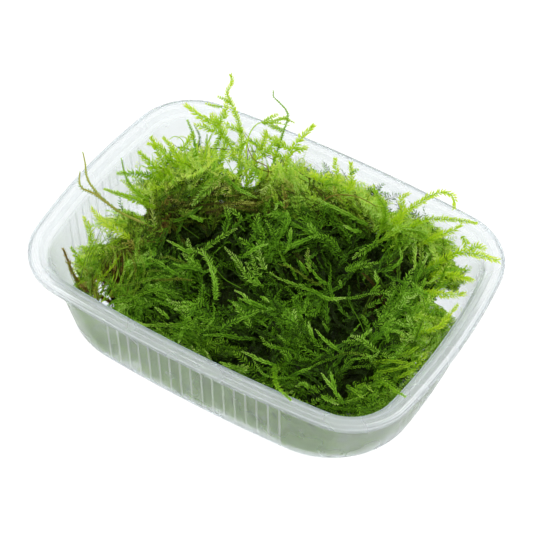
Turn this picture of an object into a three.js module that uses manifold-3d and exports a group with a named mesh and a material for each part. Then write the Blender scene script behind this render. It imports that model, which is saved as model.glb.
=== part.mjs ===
// Christmas moss in a clear plastic tub: a ribbed tub with rounded corners, the tangled clump of moss that
// fills it, and the leafy shoots and bare stems that stand clear of the clump.
// Millimetres, +Z up, +X along the tub. The origin is the middle of the tub's flat base.
import * as THREE from "three";
import Module from "manifold-3d";

const wasm = await Module();
wasm.setup();

// Tub outline at the rim's outer edge
const HALF_LENGTH = 68.5;
const HALF_WIDTH = 50.4;
const LONG_SIDE_RADIUS = 525;
const SHORT_SIDE_RADIUS = 227;
const CORNER_RADIUS = 21.5;
const BASE_CORNER_EXTRA = 15.8; // the corners grow rounder towards the base by this much

// Tub section, as insets from that outline and heights above the table
const TUB_HEIGHT = 32.2;
const WALL = 0.6;
const SKIRT_HEIGHT = 2.05;
const BEAD_WIDTH = 1.2;
const BEAD_DEPTH = 0.9;
const BEAD_ROUNDING = 0.3;
const FLANGE_WIDTH = 3.6;
const SHOULDER_INSET = 6.5;
const SHOULDER_DROP = 2.5;
const WALL_FOOT_INSET = 8.45;
const WALL_FOOT_HEIGHT = 2.6;
const FOOT_ROUND_INSET = 9.2; // half way round the curve between wall and floor
const FOOT_ROUND_HEIGHT = 1.15;
const FLOOR_INSET = 10.5;
const CURVE_THINNING = 0.3; // the wall is this much thinner where it turns

// Ribs on the outside of the walls
const RIB_PITCH = 3.87;
const RIBS_LONG_SIDE = 17;
const RIBS_SHORT_SIDE = 11;
const RIB_ROOT_WIDTH = 1;
const RIB_CREST_WIDTH = 0.5;
const RIB_HEIGHT = 0.35;
const RIB_EMBED = 0.3;
const RIB_BOTTOM = 3.4;
const RIB_TOP = 28.2;

// Clump of moss
const CLEARANCE = 0.3; // air kept between pieces that touch on the real object
const CLUMP_CENTRE = [6, -5];
const CLUMP_EDGE_HEIGHT = 28.6;
const CLUMP_RISE = 8.5;
const CLUMP_PEAK = [-6, 13];
const CLUMP_SPREAD = [46, 27];
const CLUMP_ANGLES = 54;

// How far the clump's top reaches from its centre, where no wall stops it: degrees from +X, distance
const CLUMP_REACH = [
  [0, 58], [21, 53], [35, 59], [50, 57], [69, 51], [94, 47], [124, 50], [140, 55],
  [154, 57], [172, 58], [190, 57], [204, 59], [222, 58], [240, 50], [312, 60], [340, 60],
];
const CLUMP_SPLAY = 0.45; // the clump spreads by this much for every millimetre down from its top
const SIDE_HEIGHTS = [12, 24]; // between the foot of the wall and the clump's shoulder
const TOP_SHARES = [0.985, 0.92, 0.8, 0.66, 0.52, 0.37, 0.19]; // rings of the top, as shares of the reach
const SHOULDER_DROPS = [3.2, 1.2, 0, 0, 0, 0, 0]; // how far the outer rings of the top lie below the dome
const WALL_MARGIN = 0.1;

// Unevenness of the clump: two ripples across its top, and dents in its sides. A turn is radians per millimetre.
const RIPPLE = { height: 0.8, turnX: 0.31, startX: 1.3, turnY: 0.36, startY: 0.4 };
const CROSS_RIPPLE = { height: 0.5, turnX: 0.17, turnY: 0.52 };
const DENT_DEPTH = 1.5;
const WIDE_DENTS = { depth: 0.8, round: 5, turn: 0.4 };
const FINE_DENTS = { depth: 0.7, round: 13, turn: 0.7 };

// Swells (+) and hollows (-) on top of the clump: x, y, radius, rise
const LUMPS = [
  [-36, 24, 12, 6], [-47, 2, 8, 3], [8, 32, 9, 3.5], [36, 32, 9, 4], [-12, 33, 9, 3], [52, 24, 7, 3],
  [-9, 13, 8, -5], [-26, 2, 7, -4.5], [16, -8, 8, -5.5], [-24, -9, 6, -4], [-38, -25, 6, -3.5],
  [24, 16, 6, -4], [-6, -10, 6, -4.5], [30, -24, 6, -4], [-21, -24, 6, -3], [38, 3, 7, -4], [4, 3, 5, -3],
];

// Shoots
const LEAF_PITCH = 3.4;
const LEAF_SWEEP = 0.25; // how far a leaf tip lies ahead of its foot, as a share of the pitch
const LEAF_NOTCH = 0.45; // width between leaf tips, as a share of the width at the tips
const LEAFY_WIDTH = 2.7;
const SHOOT_THICKNESS = 0.7;
const FOOT_WIDTH = 0.4; // width of a leafy shoot at its foot, as a share of its full width
const FOOT_LENGTH = 0.2; // length over which it widens, as a share of its whole length
const TIP_BLUNTNESS = 0.02;
const STEM_NARROWING = 0.5;
const TIP_THINNING = 0.45;
const TAIL_POINT = 0.2;
const TIP_POINT = 0.5;
const STEM_WIDTH = 0.8;
const STEM_STEP = 4;

// Shoots that lie on the clump are bigger, because each stands for a frond with its side branches
const LYING_LEAF_PITCH = 4.8;
const LYING_WIDTH = 5.6;
const LYING_THICKNESS = 4.4;
const LYING_TIP_LIFT = 1.2;

const LEAFY = { leafy: true, width: LEAFY_WIDTH, thickness: SHOOT_THICKNESS, pitch: LEAF_PITCH };
const STEM = { leafy: false, width: STEM_WIDTH, thickness: SHOOT_THICKNESS, pitch: STEM_STEP };
const LYING = { leafy: true, width: LYING_WIDTH, thickness: LYING_THICKNESS, pitch: LYING_LEAF_PITCH };

// Shoots that lie along the top of the clump, as plan points that their middle lines pass over
const LYING_SHOOTS = [
  [[-29, -5], [-24, -1], [-19, 4]],
  [[-38, -2], [-32, -6], [-29, -13], [-29, -20]],
  [[-20, -3], [-16, -12], [-12, -17]],
  [[-17, -4], [-9, -4]],
  [[-9, 18], [-11, 8], [-12, 2]],
  [[7, 22], [14, 18], [20, 14]],
  [[0, 0], [6, 4], [11, 1]],
  [[17, 1], [25, 4]],
  [[-33, -14], [-30, -19], [-31, -26], [-36, -28]],
  [[-21, -21], [-14, -22], [-8, -23]],
  [[-28, -30], [-20, -28], [-10, -25], [-4, -24]],
  [[-2, -9], [8, -9], [14, -8], [22, -4], [29, 1]],
  [[12, -20], [18, -23], [22, -25]],
  [[10, -35], [18, -28], [26, -23]],
  [[26, -4], [29, -11], [31, -17]],
  [[-42, -24], [-34, -16], [-24, -10]],
  [[-38, -30], [-30, -24], [-22, -22]],
  [[-5, -32], [4, -33], [11, -33]],
  [[36, -26], [42, -28], [46, -30]],
  [[-30, 14], [-36, 9], [-40, 2]],
  [[40, 14], [45, 8], [47, 0]],
  [[45, -10], [50, -16], [52, -23]],
];

// Shoots that stand clear of the clump. Each starts inside the clump and is cut off where it comes out.
const SHOOTS = {
  shoot_tallest: [LEAFY, [-22, 18, 32], [-28, 30, 38], [-31.2, 33.4, 43], [-34.6, 34.9, 48],
    [-37.2, 35.4, 52], [-37, 38, 55], [-37.8, 38.7, 57]],
  shoot_left_feather: [LEAFY, [-30, 18, 33], [-33, 28, 40], [-38.5, 30.4, 43], [-42.9, 28.6, 44.5],
    [-48.3, 29.1, 46]],
  shoot_back_arch: [STEM, [-34, 14, 33], [-35.8, 21.5, 41], [-35.8, 25.1, 44.6], [-34.6, 27.8, 47]],
  shoot_yellow_runner: [STEM, [-20, 20, 33], [-26, 30, 40.5], [-25.6, 35, 45], [-20.9, 37, 46.6],
    [-15.4, 38.4, 47]],
  shoot_whip: [STEM, [-14, 22, 33], [-17.5, 35.2, 38], [-17.6, 38.4, 43], [-17.6, 41, 48.6],
    [-21.1, 41.5, 51.5], [-23.3, 41.3, 53], [-23.8, 41.8, 55]],
  shoot_back_bushy: [LEAFY, [-19, 18, 33], [-21.9, 31.4, 38], [-21.4, 33, 41.5], [-21.6, 33.6, 44.4]],
  shoot_back_feather: [LEAFY, [-8, 24, 33], [-13.2, 34.4, 36.5], [-12.8, 37.7, 39.5], [-11.6, 41, 42.5],
    [-10, 43.6, 45]],
  shoot_brown_back: [STEM, [-14, 20, 33], [-16, 27, 36.8], [-21, 26.4, 38.4], [-24.4, 27.6, 41.5]],
  shoot_upright: [LEAFY, [-34, 12, 33], [-38.9, 19.4, 38], [-40.9, 21.1, 43.5], [-43.2, 21.8, 47.5]],
  shoot_hooked: [STEM, [-36, 10, 33], [-41, 16.6, 38.6], [-43, 18.6, 41.6], [-45.6, 18.4, 42.8],
    [-47, 16.6, 42]],
  shoot_fan_left: [LEAFY, [-36, 6, 33], [-45.4, 11, 36], [-48.8, 12, 40], [-50.8, 12.2, 44]],
  shoot_fan_right: [LEAFY, [-34, 9, 33], [-40.2, 13.4, 37], [-44.2, 14.6, 40.5], [-47.4, 14.6, 43.5]],
  shoot_fork_long: [STEM, [-38, -9, 30], [-45.2, -12.6, 34.5], [-49.5, -14.2, 38], [-53.3, -14.8, 41.5],
    [-57.7, -13.4, 44], [-60.7, -10.1, 46.5], [-62.6, -8.4, 48.4]],
  shoot_fork_short: [STEM, [-53.9, -15.5, 41.4], [-57.2, -17, 43], [-59.2, -15.6, 44], [-60.4, -13.4, 45.2]],
  shoot_fork_leafy: [LEAFY, [-37, -3, 32], [-44.8, -7.6, 37.2], [-48.6, -10, 39.4], [-52.1, -11.4, 40.6]],
  shoot_thin_upright: [STEM, [-40, -2, 31], [-47.6, -3.6, 37], [-50.6, -3.4, 42], [-52.5, -2.1, 46]],
  shoot_side_frond: [LEAFY, [-38, 4, 32], [-46, 4.4, 36], [-50, 1.4, 37.6], [-54, -1.2, 38]],
  shoot_small_tip: [LEAFY, [-40, 5.6, 33], [-46.6, 7.2, 37.4], [-49.4, 6.8, 40], [-51, 6.4, 42]],
  shoot_pale_frond: [LEAFY, [-38, -16, 29], [-46, -17.6, 32], [-50, -18, 34], [-53, -17.4, 36]],
  shoot_left_leafy: [LEAFY, [-40, -27, 23], [-48.6, -25.4, 25], [-50.6, -22.6, 28], [-52, -21.4, 31],
    [-54, -20.8, 34.4]],
  shoot_left_stub: [LEAFY, [-40, -31, 24], [-47, -30.6, 25], [-50.5, -30.1, 27], [-52.8, -29.8, 29.5]],
  shoot_brown_wall: [STEM, [-34, -36, 22], [-44, -36.4, 23], [-49, -34.8, 24.5], [-52.4, -32.8, 27],
    [-54.8, -31.6, 29.6]],
  shoot_back_tuft_left: [LEAFY, [4, 26, 33], [5.2, 33.8, 36.5], [3.8, 35.5, 39.5], [2.7, 36.6, 42.5]],
  shoot_back_tuft_right: [LEAFY, [9, 26, 33], [10, 34, 36.5], [9.4, 35.5, 40], [8.3, 36.8, 43.8]],
  shoot_brown_arch: [STEM, [4, 21, 33], [7.5, 25.6, 38.6], [14.2, 27.8, 40.8], [18.6, 28.8, 40.2],
    [21.6, 29.6, 38.6]],
  shoot_green_blade: [LEAFY, [26, 26, 32], [24.6, 31, 37], [22.2, 31.6, 39.6], [19.4, 32.2, 42.4]],
  shoot_curled: [LEAFY, [26, 28, 32], [31, 35.4, 38], [33.2, 37.6, 40], [35.3, 39.5, 42.5],
    [39.3, 41.4, 44.6], [42.4, 41.5, 44], [43.6, 40, 42]],
  shoot_reaching: [LEAFY, [30, 26, 31], [36, 33.4, 36.8], [41.5, 36, 38.6], [46.5, 38.1, 39],
    [51, 40.4, 38.4]],
  shoot_right_feather: [LEAFY, [44, 22, 29], [50.4, 28.6, 34.6], [54.4, 29.6, 36.4], [59.4, 29.7, 38],
    [64, 29.6, 39]],
  shoot_right_tuft: [LEAFY, [44, 20, 29], [52.6, 22.8, 31.6], [56, 22.8, 32.8], [59.6, 22.4, 34.2]],
  shoot_right_low: [LEAFY, [44, 13, 28], [52.4, 14.6, 30.6], [56.4, 15.4, 32], [60, 16.4, 33.6]],
  shoot_right_wall: [LEAFY, [52, -2, 27], [58.8, 2.4, 31], [60, 6.4, 32.8], [60.8, 10.2, 34.4]],
  shoot_right_corner: [LEAFY, [38, 28, 31], [43, 32, 35.6], [46.2, 33.4, 38], [48.4, 34.8, 40.4]],
  shoot_over_near_rim: [LEAFY, [24, -34, 28], [28.6, -42, 31.8], [32.6, -45.2, 33.8], [36.6, -47, 34.6]],
  shoot_over_near_corner: [LEAFY, [50, -22, 27], [57.2, -25.6, 32], [60.8, -27.4, 33.9], [64, -28.4, 34.7]],
  shoot_front_right_tip: [LEAFY, [30.4, 27.6, 33], [29.4, 32.6, 38.6], [28.2, 33.4, 42.4],
    [29.6, 34.2, 44.4]],
};
const BROWN_SHOOTS = ["shoot_brown_back", "shoot_brown_wall", "shoot_brown_arch"];

const TUB_MATERIAL = new THREE.MeshStandardMaterial({
  color: 0xdfe6ea, roughness: 0.28, metalness: 0, transparent: true, opacity: 0.45, flatShading: true,
});
const CLUMP_MATERIAL = new THREE.MeshStandardMaterial({ color: 0x3c6414, roughness: 0.6, flatShading: true });
const SHOOT_MATERIAL = new THREE.MeshStandardMaterial({ color: 0x86b41e, roughness: 0.5, flatShading: true });
const BROWN_MATERIAL = new THREE.MeshStandardMaterial({ color: 0x5a3c14, roughness: 0.6, flatShading: true });

// A solid from shared vertices and triangles
function solidOf(vertices, triangles) {
  const mesh = new wasm.Mesh({
    numProp: 3,
    vertProperties: new Float32Array(vertices.flat()),
    triVerts: new Uint32Array(triangles.flat()),
  });
  return new wasm.Manifold(mesh);
}

// A drawable mesh from a solid
function meshOf(name, solid, material) {
  const { vertProperties, triVerts } = solid.getMesh();
  const geometry = new THREE.BufferGeometry();
  geometry.setAttribute("position", new THREE.BufferAttribute(vertProperties, 3));
  geometry.setIndex(new THREE.BufferAttribute(triVerts, 1));
  geometry.computeVertexNormals();
  const mesh = new THREE.Mesh(geometry, material);
  mesh.name = name;
  return mesh;
}

// The largest of a solid's loose pieces: joins and cuts can leave slivers
function largestOf(solid) {
  return solid.decompose().reduce((largest, piece) => (piece.volume() > largest.volume() ? piece : largest));
}

// A closed surface from rings of equally many points, with a point at each end
function loft(first, rings, last) {
  const count = rings[0].length;
  const vertices = [first, ...rings.flat(), last];
  const end = vertices.length - 1;
  const at = (ring, i) => 1 + ring * count + (i % count);
  const triangles = [];
  for (let i = 0; i < count; i++) {
    triangles.push([0, at(0, i + 1), at(0, i)]);
    triangles.push([end, at(rings.length - 1, i), at(rings.length - 1, i + 1)]);
    for (let ring = 0; ring + 1 < rings.length; ring++) {
      triangles.push([at(ring, i), at(ring, i + 1), at(ring + 1, i + 1)]);
      triangles.push([at(ring, i), at(ring + 1, i + 1), at(ring + 1, i)]);
    }
  }
  return solidOf(vertices, triangles);
}

// Points along an arc, without its last point
function arc(centre, radius, from, to, count) {
  return Array.from({ length: count }, (_, i) => {
    const angle = from + ((to - from) * i) / count;
    return [centre[0] + radius * Math.cos(angle), centre[1] + radius * Math.sin(angle)];
  });
}

// The tub's outline pulled in by an inset: each quarter is a short side, a corner and a long side, all arcs
function tubOutline(inset, cornerExtra = 0) {
  const sideSteps = 3;
  const cornerSteps = 7;
  const longRadius = LONG_SIDE_RADIUS - inset;
  const shortRadius = SHORT_SIDE_RADIUS - inset;
  const cornerRadius = CORNER_RADIUS - inset + cornerExtra;
  const longCentre = new THREE.Vector2(0, HALF_WIDTH - inset - longRadius);
  const shortCentre = new THREE.Vector2(HALF_LENGTH - inset - shortRadius, 0);
  const longToCorner = longRadius - cornerRadius;
  const shortToCorner = shortRadius - cornerRadius;
  const between = shortCentre.clone().sub(longCentre);
  const distance = between.length();
  const along = (distance ** 2 + longToCorner ** 2 - shortToCorner ** 2) / (2 * distance);
  const across = Math.sqrt(longToCorner ** 2 - along ** 2);
  const u = between.normalize();
  const v = new THREE.Vector2(u.y, -u.x);
  const corner = longCentre.clone().addScaledVector(u, along).addScaledVector(v, across);
  const shortEnd = corner.clone().sub(shortCentre).angle();
  const longStart = corner.clone().sub(longCentre).angle();
  const quarter = [
    ...arc(shortCentre.toArray(), shortRadius, 0, shortEnd, sideSteps),
    ...arc(corner.toArray(), cornerRadius, shortEnd, longStart, cornerSteps),
    ...arc(longCentre.toArray(), longRadius, longStart, Math.PI / 2, sideSteps),
  ];
  const top = [0, HALF_WIDTH - inset];
  const next = [top, ...quarter.slice(1).reverse().map(([x, y]) => [-x, y])];
  const half = [...quarter, ...next];
  return [...half, ...half.map(([x, y]) => [-x, -y])];
}

// How much rounder the corners are at a height
function cornerExtraAt(z) {
  const shoulder = TUB_HEIGHT - SHOULDER_DROP;
  return BASE_CORNER_EXTRA * Math.max(0, 1 - z / shoulder);
}

// The inset of the walls' inner face at a height
function innerInset(z) {
  const shoulder = TUB_HEIGHT - SHOULDER_DROP;
  const section = [
    [WALL, FLOOR_INSET], [FOOT_ROUND_HEIGHT, FOOT_ROUND_INSET], [WALL_FOOT_HEIGHT, WALL_FOOT_INSET],
    [shoulder, SHOULDER_INSET], [TUB_HEIGHT, FLANGE_WIDTH],
  ];
  const upper = Math.max(1, section.findIndex(([height]) => height >= z));
  const [z0, inset0] = section[upper - 1];
  const [z1, inset1] = section[upper];
  return THREE.MathUtils.mapLinear(z, z0, z1, inset0, inset1);
}

function ringAt(inset, z, cornerExtra = cornerExtraAt(z)) {
  return tubOutline(inset, cornerExtra).map(([x, y]) => [x, y, z]);
}

// The smooth shell: the outside from the base up and over the rim, then the inside down to the floor
function tubShell() {
  const top = TUB_HEIGHT;
  const shoulder = top - SHOULDER_DROP;
  const skirtFoot = top - SKIRT_HEIGHT;
  const outside = [
    ringAt(FLOOR_INSET - CURVE_THINNING, 0),
    ringAt(FOOT_ROUND_INSET - WALL, FOOT_ROUND_HEIGHT - WALL),
    ringAt(WALL_FOOT_INSET - WALL, WALL_FOOT_HEIGHT - CURVE_THINNING),
    ringAt(SHOULDER_INSET - WALL, shoulder - WALL),
    ringAt(FLANGE_WIDTH - CURVE_THINNING, top - WALL),
    ringAt(WALL + CURVE_THINNING, top - WALL),
    ringAt(WALL, skirtFoot),
    ringAt(0, skirtFoot),
    ringAt(0, top - BEAD_DEPTH),
    ringAt(BEAD_ROUNDING, top - BEAD_ROUNDING),
    ringAt(BEAD_WIDTH, top),
  ];
  const inside = [
    ringAt(FLANGE_WIDTH, top),
    ringAt(SHOULDER_INSET, shoulder),
    ringAt(WALL_FOOT_INSET, WALL_FOOT_HEIGHT),
    ringAt(FOOT_ROUND_INSET, FOOT_ROUND_HEIGHT),
    ringAt(FLOOR_INSET, WALL),
  ];
  return loft([0, 0, 0], [...outside, ...inside], [0, 0, WALL]);
}

// One rib: a tapered bar on the outside of a wall. along is its place on the side, turn the side's direction.
function rib(halfSpan, sideRadius, along, turn) {
  const depths = [-RIB_EMBED, RIB_HEIGHT];
  const widths = [RIB_ROOT_WIDTH, RIB_CREST_WIDTH];
  const ringFor = (z) => {
    const inset = innerInset(z) - WALL;
    const radius = sideRadius - inset;
    const face = halfSpan - inset - radius + Math.sqrt(radius ** 2 - along ** 2);
    const corners = [
      [face + depths[0], along - widths[0] / 2], [face + depths[1], along - widths[1] / 2],
      [face + depths[1], along + widths[1] / 2], [face + depths[0], along + widths[0] / 2],
    ];
    return corners.map(([out, side]) => {
      const p = new THREE.Vector3(out, side, z).applyAxisAngle(new THREE.Vector3(0, 0, 1), turn);
      return p.toArray();
    });
  };
  const bottom = ringFor(RIB_BOTTOM);
  const top = ringFor(RIB_TOP);
  const triangles = [[0, 2, 1], [0, 3, 2], [4, 5, 6], [4, 6, 7]];
  for (let i = 0; i < 4; i++) {
    const j = (i + 1) % 4;
    triangles.push([i, j, 4 + j], [i, 4 + j, 4 + i]);
  }
  return solidOf([...bottom, ...top], triangles);
}

function tubSolid() {
  const parts = [tubShell()];
  const sides = [
    [HALF_LENGTH, SHORT_SIDE_RADIUS, RIBS_SHORT_SIDE, 0],
    [HALF_WIDTH, LONG_SIDE_RADIUS, RIBS_LONG_SIDE, Math.PI / 2],
    [HALF_LENGTH, SHORT_SIDE_RADIUS, RIBS_SHORT_SIDE, Math.PI],
    [HALF_WIDTH, LONG_SIDE_RADIUS, RIBS_LONG_SIDE, -Math.PI / 2],
  ];
  for (const [halfSpan, sideRadius, count, turn] of sides) {
    for (let i = 0; i < count; i++) {
      parts.push(rib(halfSpan, sideRadius, (i - (count - 1) / 2) * RIB_PITCH, turn));
    }
  }
  return wasm.Manifold.union(parts);
}

// Distance from the clump's centre to a closed outline, in a direction
function distanceTo(outline, angle) {
  const direction = new THREE.Vector2(Math.cos(angle), Math.sin(angle));
  let best = Infinity;
  outline.forEach(([x0, y0], i) => {
    const [x1, y1] = outline[(i + 1) % outline.length];
    const start = new THREE.Vector2(x0 - CLUMP_CENTRE[0], y0 - CLUMP_CENTRE[1]);
    const edge = new THREE.Vector2(x1 - x0, y1 - y0);
    const facing = direction.cross(edge);
    const share = start.cross(direction) / facing;
    const reach = start.cross(edge) / facing;
    if (share >= 0 && share <= 1 && reach > 0) best = Math.min(best, reach);
  });
  return best;
}

// The clump's own reach in a direction, eased between the listed angles
function ownReach(angle) {
  const degrees = THREE.MathUtils.euclideanModulo(THREE.MathUtils.radToDeg(angle), 360);
  const after = CLUMP_REACH.findIndex(([listed]) => listed > degrees);
  const next = after < 0 ? 0 : after;
  const [d0, r0] = CLUMP_REACH.at(next - 1);
  const [d1, r1] = CLUMP_REACH[next];
  const share = (degrees - d0) / ((after < 0 ? d1 + 360 : d1) - d0);
  return r0 + (r1 - r0) * THREE.MathUtils.smoothstep(share, 0, 1);
}

// Height of the clump's top: a low dome with a fine ripple, the swells and the hollows
function clumpTop(x, y) {
  const alongDome = (x - CLUMP_PEAK[0]) / CLUMP_SPREAD[0];
  const acrossDome = (y - CLUMP_PEAK[1]) / CLUMP_SPREAD[1];
  const dome = Math.exp(-(alongDome ** 2) - acrossDome ** 2);
  const wave = Math.sin(x * RIPPLE.turnX + RIPPLE.startX) * Math.cos(y * RIPPLE.turnY - RIPPLE.startY);
  const crossWave = Math.sin(x * CROSS_RIPPLE.turnX - y * CROSS_RIPPLE.turnY);
  let z = CLUMP_EDGE_HEIGHT + CLUMP_RISE * dome + RIPPLE.height * wave + CROSS_RIPPLE.height * crossWave;
  for (const [lx, ly, radius, rise] of LUMPS) {
    z += rise * Math.exp(-((x - lx) ** 2 + (y - ly) ** 2) / radius ** 2);
  }
  return z;
}

// How far the clump's side lies from its centre in a direction, at a height
function sideReach(angle, z) {
  const wall = tubOutline(innerInset(z) + CLEARANCE, cornerExtraAt(z));
  const hold = distanceTo(wall, angle) - WALL_MARGIN;
  const wideDent = WIDE_DENTS.depth * Math.sin(WIDE_DENTS.round * angle + WIDE_DENTS.turn * z);
  const fineDent = FINE_DENTS.depth * Math.sin(FINE_DENTS.round * angle - FINE_DENTS.turn * z);
  const splay = CLUMP_SPLAY * (SIDE_HEIGHTS.at(-1) - z);
  return Math.min(ownReach(angle) + splay - DENT_DEPTH - wideDent - fineDent, hold);
}

// The clump's body, made fatter all round by grow
function clumpBody(grow) {
  const heights = [WALL + CLEARANCE - grow, WALL_FOOT_HEIGHT, ...SIDE_HEIGHTS];
  const angles = Array.from({ length: CLUMP_ANGLES }, (_, i) => (i / CLUMP_ANGLES) * 2 * Math.PI);
  const pointAt = (angle, reach, z) => [
    CLUMP_CENTRE[0] + reach * Math.cos(angle), CLUMP_CENTRE[1] + reach * Math.sin(angle), z,
  ];
  const sides = heights.map((z) => angles.map((angle) => (
    pointAt(angle, sideReach(angle, Math.max(z, WALL)) + grow, z)
  )));
  const tops = TOP_SHARES.map((share, k) => angles.map((angle) => {
    const [x, y] = pointAt(angle, sideReach(angle, heights.at(-1)) * share + grow, 0);
    return [x, y, clumpTop(x, y) - SHOULDER_DROPS[k] + grow];
  }));
  const [cx, cy] = CLUMP_CENTRE;
  return loft([cx, cy, heights[0]], [...sides, ...tops], [cx, cy, clumpTop(cx, cy) + grow]);
}

// A shoot along a line of points. A leafy one is a flat strip whose edges step out to a leaf tip and back.
// face is the direction that its flat side looks, and grow makes it fatter all round.
function shootSolid(points, face, size, grow = 0) {
  const { leafy, width, thickness, pitch } = size;
  const curve = new THREE.CatmullRomCurve3(points, false, "centripetal");
  const steps = Math.max(3, Math.round(curve.getLength() / pitch)) * (leafy ? 2 : 1);
  const rings = [];
  for (let i = 0; i <= steps; i++) {
    const share = i / steps;
    const centre = curve.getPointAt(share);
    const tangent = curve.getTangentAt(share);
    const side = new THREE.Vector3().crossVectors(face, tangent).normalize();
    const up = new THREE.Vector3().crossVectors(tangent, side);
    const widening = Math.min(1, FOOT_WIDTH + (1 - FOOT_WIDTH) * (share / FOOT_LENGTH));
    const leafyTaper = widening * Math.sqrt(1 + TIP_BLUNTNESS - share);
    const taper = leafy ? leafyTaper : 1 - STEM_NARROWING * share;
    const atTip = leafy && i % 2 === 1;
    const notch = leafy && !atTip ? LEAF_NOTCH : 1;
    const halfWidth = (width / 2) * taper * notch + grow;
    const half = (thickness / 2) * (1 - TIP_THINNING * share) + grow;
    const ahead = centre.clone().addScaledVector(tangent, atTip ? LEAF_SWEEP * pitch : 0);
    rings.push([
      ahead.clone().addScaledVector(side, halfWidth).toArray(),
      centre.clone().addScaledVector(up, half).toArray(),
      ahead.clone().addScaledVector(side, -halfWidth).toArray(),
      centre.clone().addScaledVector(up, -half).toArray(),
    ]);
  }
  const tail = points[0].clone().addScaledVector(curve.getTangentAt(0), -TAIL_POINT - grow);
  const tip = points.at(-1).clone().addScaledVector(curve.getTangentAt(1), TIP_POINT + grow);
  return loft(tail.toArray(), rings, tip.toArray());
}

// The clump: its body with the lying shoots half sunk in its top
function clumpSolid(grow) {
  const up = new THREE.Vector3(0, 0, 1);
  const lying = LYING_SHOOTS.map((plan) => {
    const points = plan.map(([x, y], i) => {
      const lift = i === plan.length - 1 ? LYING_TIP_LIFT : 0;
      return new THREE.Vector3(x, y, clumpTop(x, y) + lift);
    });
    return shootSolid(points, up, LYING, grow);
  });
  return largestOf(wasm.Manifold.union([clumpBody(grow), ...lying]));
}

// A standing shoot, cut off just above the clump that it grows from
function standingShoot([kind, ...route], around) {
  const face = new THREE.Vector3(0.45, -0.75, 0.5);
  const points = route.map((p) => new THREE.Vector3(...p));
  return largestOf(shootSolid(points, face, kind).subtract(around));
}

const moss = new THREE.Group();
moss.add(meshOf("moss_clump", clumpSolid(0), CLUMP_MATERIAL));
const airAround = clumpSolid(CLEARANCE);
for (const [name, shoot] of Object.entries(SHOOTS)) {
  const material = BROWN_SHOOTS.includes(name) ? BROWN_MATERIAL : SHOOT_MATERIAL;
  moss.add(meshOf(name, standingShoot(shoot, airAround), material));
}

const pottedMoss = new THREE.Group();
pottedMoss.add(meshOf("tub", tubSolid(), TUB_MATERIAL));
pottedMoss.add(moss);

export default pottedMoss;
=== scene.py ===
# Christmas moss in a clear plastic tub: the looks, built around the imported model.
# Lengths are in millimetres until a mesh is made, then in metres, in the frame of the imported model.
import math

import bpy
import numpy as np
from mathutils import Matrix, Vector
from mathutils.bvhtree import BVHTree


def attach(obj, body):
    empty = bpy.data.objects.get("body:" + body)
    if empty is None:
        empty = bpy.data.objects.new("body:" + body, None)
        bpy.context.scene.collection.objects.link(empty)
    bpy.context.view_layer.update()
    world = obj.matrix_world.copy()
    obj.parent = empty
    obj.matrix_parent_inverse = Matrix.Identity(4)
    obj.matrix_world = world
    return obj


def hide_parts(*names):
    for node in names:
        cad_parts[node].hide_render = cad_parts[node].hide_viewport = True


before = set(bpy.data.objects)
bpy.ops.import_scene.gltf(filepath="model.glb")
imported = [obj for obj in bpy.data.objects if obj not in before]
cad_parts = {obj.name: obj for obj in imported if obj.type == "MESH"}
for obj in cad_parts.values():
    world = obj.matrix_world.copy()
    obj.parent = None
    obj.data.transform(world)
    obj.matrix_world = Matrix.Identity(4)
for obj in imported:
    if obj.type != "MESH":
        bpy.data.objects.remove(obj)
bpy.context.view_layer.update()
MM = 0.001
rng = np.random.default_rng(20261130)

# Camera, fitted to the tub's rim and base in the photograph
PHOTO_WIDTH = 533
FOCAL_PIXELS = 1882.38
SENSOR_WIDTH = 36
CAMERA_PLACE = (195.57, -337.61, 466.5)
CAMERA_RIGHT = (0.85207928, 0.52292412, 0.02261114)
CAMERA_DOWN = (0.40473068, -0.63086547, -0.66196815)
CAMERA_FORWARD = (-0.33189452, 0.57320077, -0.74919084)

# Tub outline at the rim's outer edge
HALF_LENGTH = 68.5
HALF_WIDTH = 50.4
LONG_SIDE_RADIUS = 525
SHORT_SIDE_RADIUS = 227
CORNER_RADIUS = 21.5
BASE_CORNER_EXTRA = 15.8

# Tub section
TUB_HEIGHT = 32.2
WALL = 0.6
FLANGE_WIDTH = 3.6
SHOULDER_INSET = 6.5
SHOULDER_HEIGHT = 29.7
WALL_FOOT_INSET = 8.45
WALL_FOOT_HEIGHT = 2.6

# Ribs on the outside of the walls
RIB_PITCH = 3.87
RIBS_LONG_SIDE = 17
RIBS_SHORT_SIDE = 11
RIB_HEIGHT = 0.045
RIB_BOTTOM = 3.4
RIB_TOP = 28.2
RIB_RUNOUT = 0.7

RIB_HALF_WIDTHS = (0.25, 0.45, 0.8)  # at its crest, at its foot, and of the flat wall kept beside it

# Insets of the clouded lines along the top of the rim, which are painted shade lines
PAINTED_SHADE_LINES = (0.1, 1.75, 3.5, 6.1)
CORNER_STEPS = 30
ARC_STEPS = 160

# Plastic
PLASTIC_COLOUR = (0.96, 0.975, 0.98)
PLASTIC_IOR = 1.42
TRANSMISSION = 0.96
# Transmission lost where the white attribute paints highlights on the rib crests and shade lines on the rim
TRANSMISSION_LOST_IN_PAINTED_LINES = 0.25
ROUGHNESS = (0.24, 0.3)
MILKINESS = 0.17
MILK_COLOUR = (0.95, 0.97, 0.97)
ABSORPTION_COLOUR = (0.45, 0.68, 0.78)
ABSORPTION_DENSITY = 105

# Finish of the leaves
LEAF_ROUGHNESS = 0.38
LEAF_GLOSS = 0.11
LEAF_FILTER = (1.0, 1.0, 0.45)  # tints the light that comes through a leaf
PATCH_SCALE = 260
PATCH_STRENGTH = 0.24

# Moss
CLUMP_CENTRE = (6, -5)
SKYLINE_HEIGHT = 34  # of what shows where the clump itself doesn't
STEM_MARGIN = 1.7  # least distance from a stem to a wall
STEM_RADIUS = 0.12
BARE_STEM_THICKENING = 1.7
LOWEST_STEM = 3.0  # height above the table
STEM_STEP = 1.8
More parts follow.
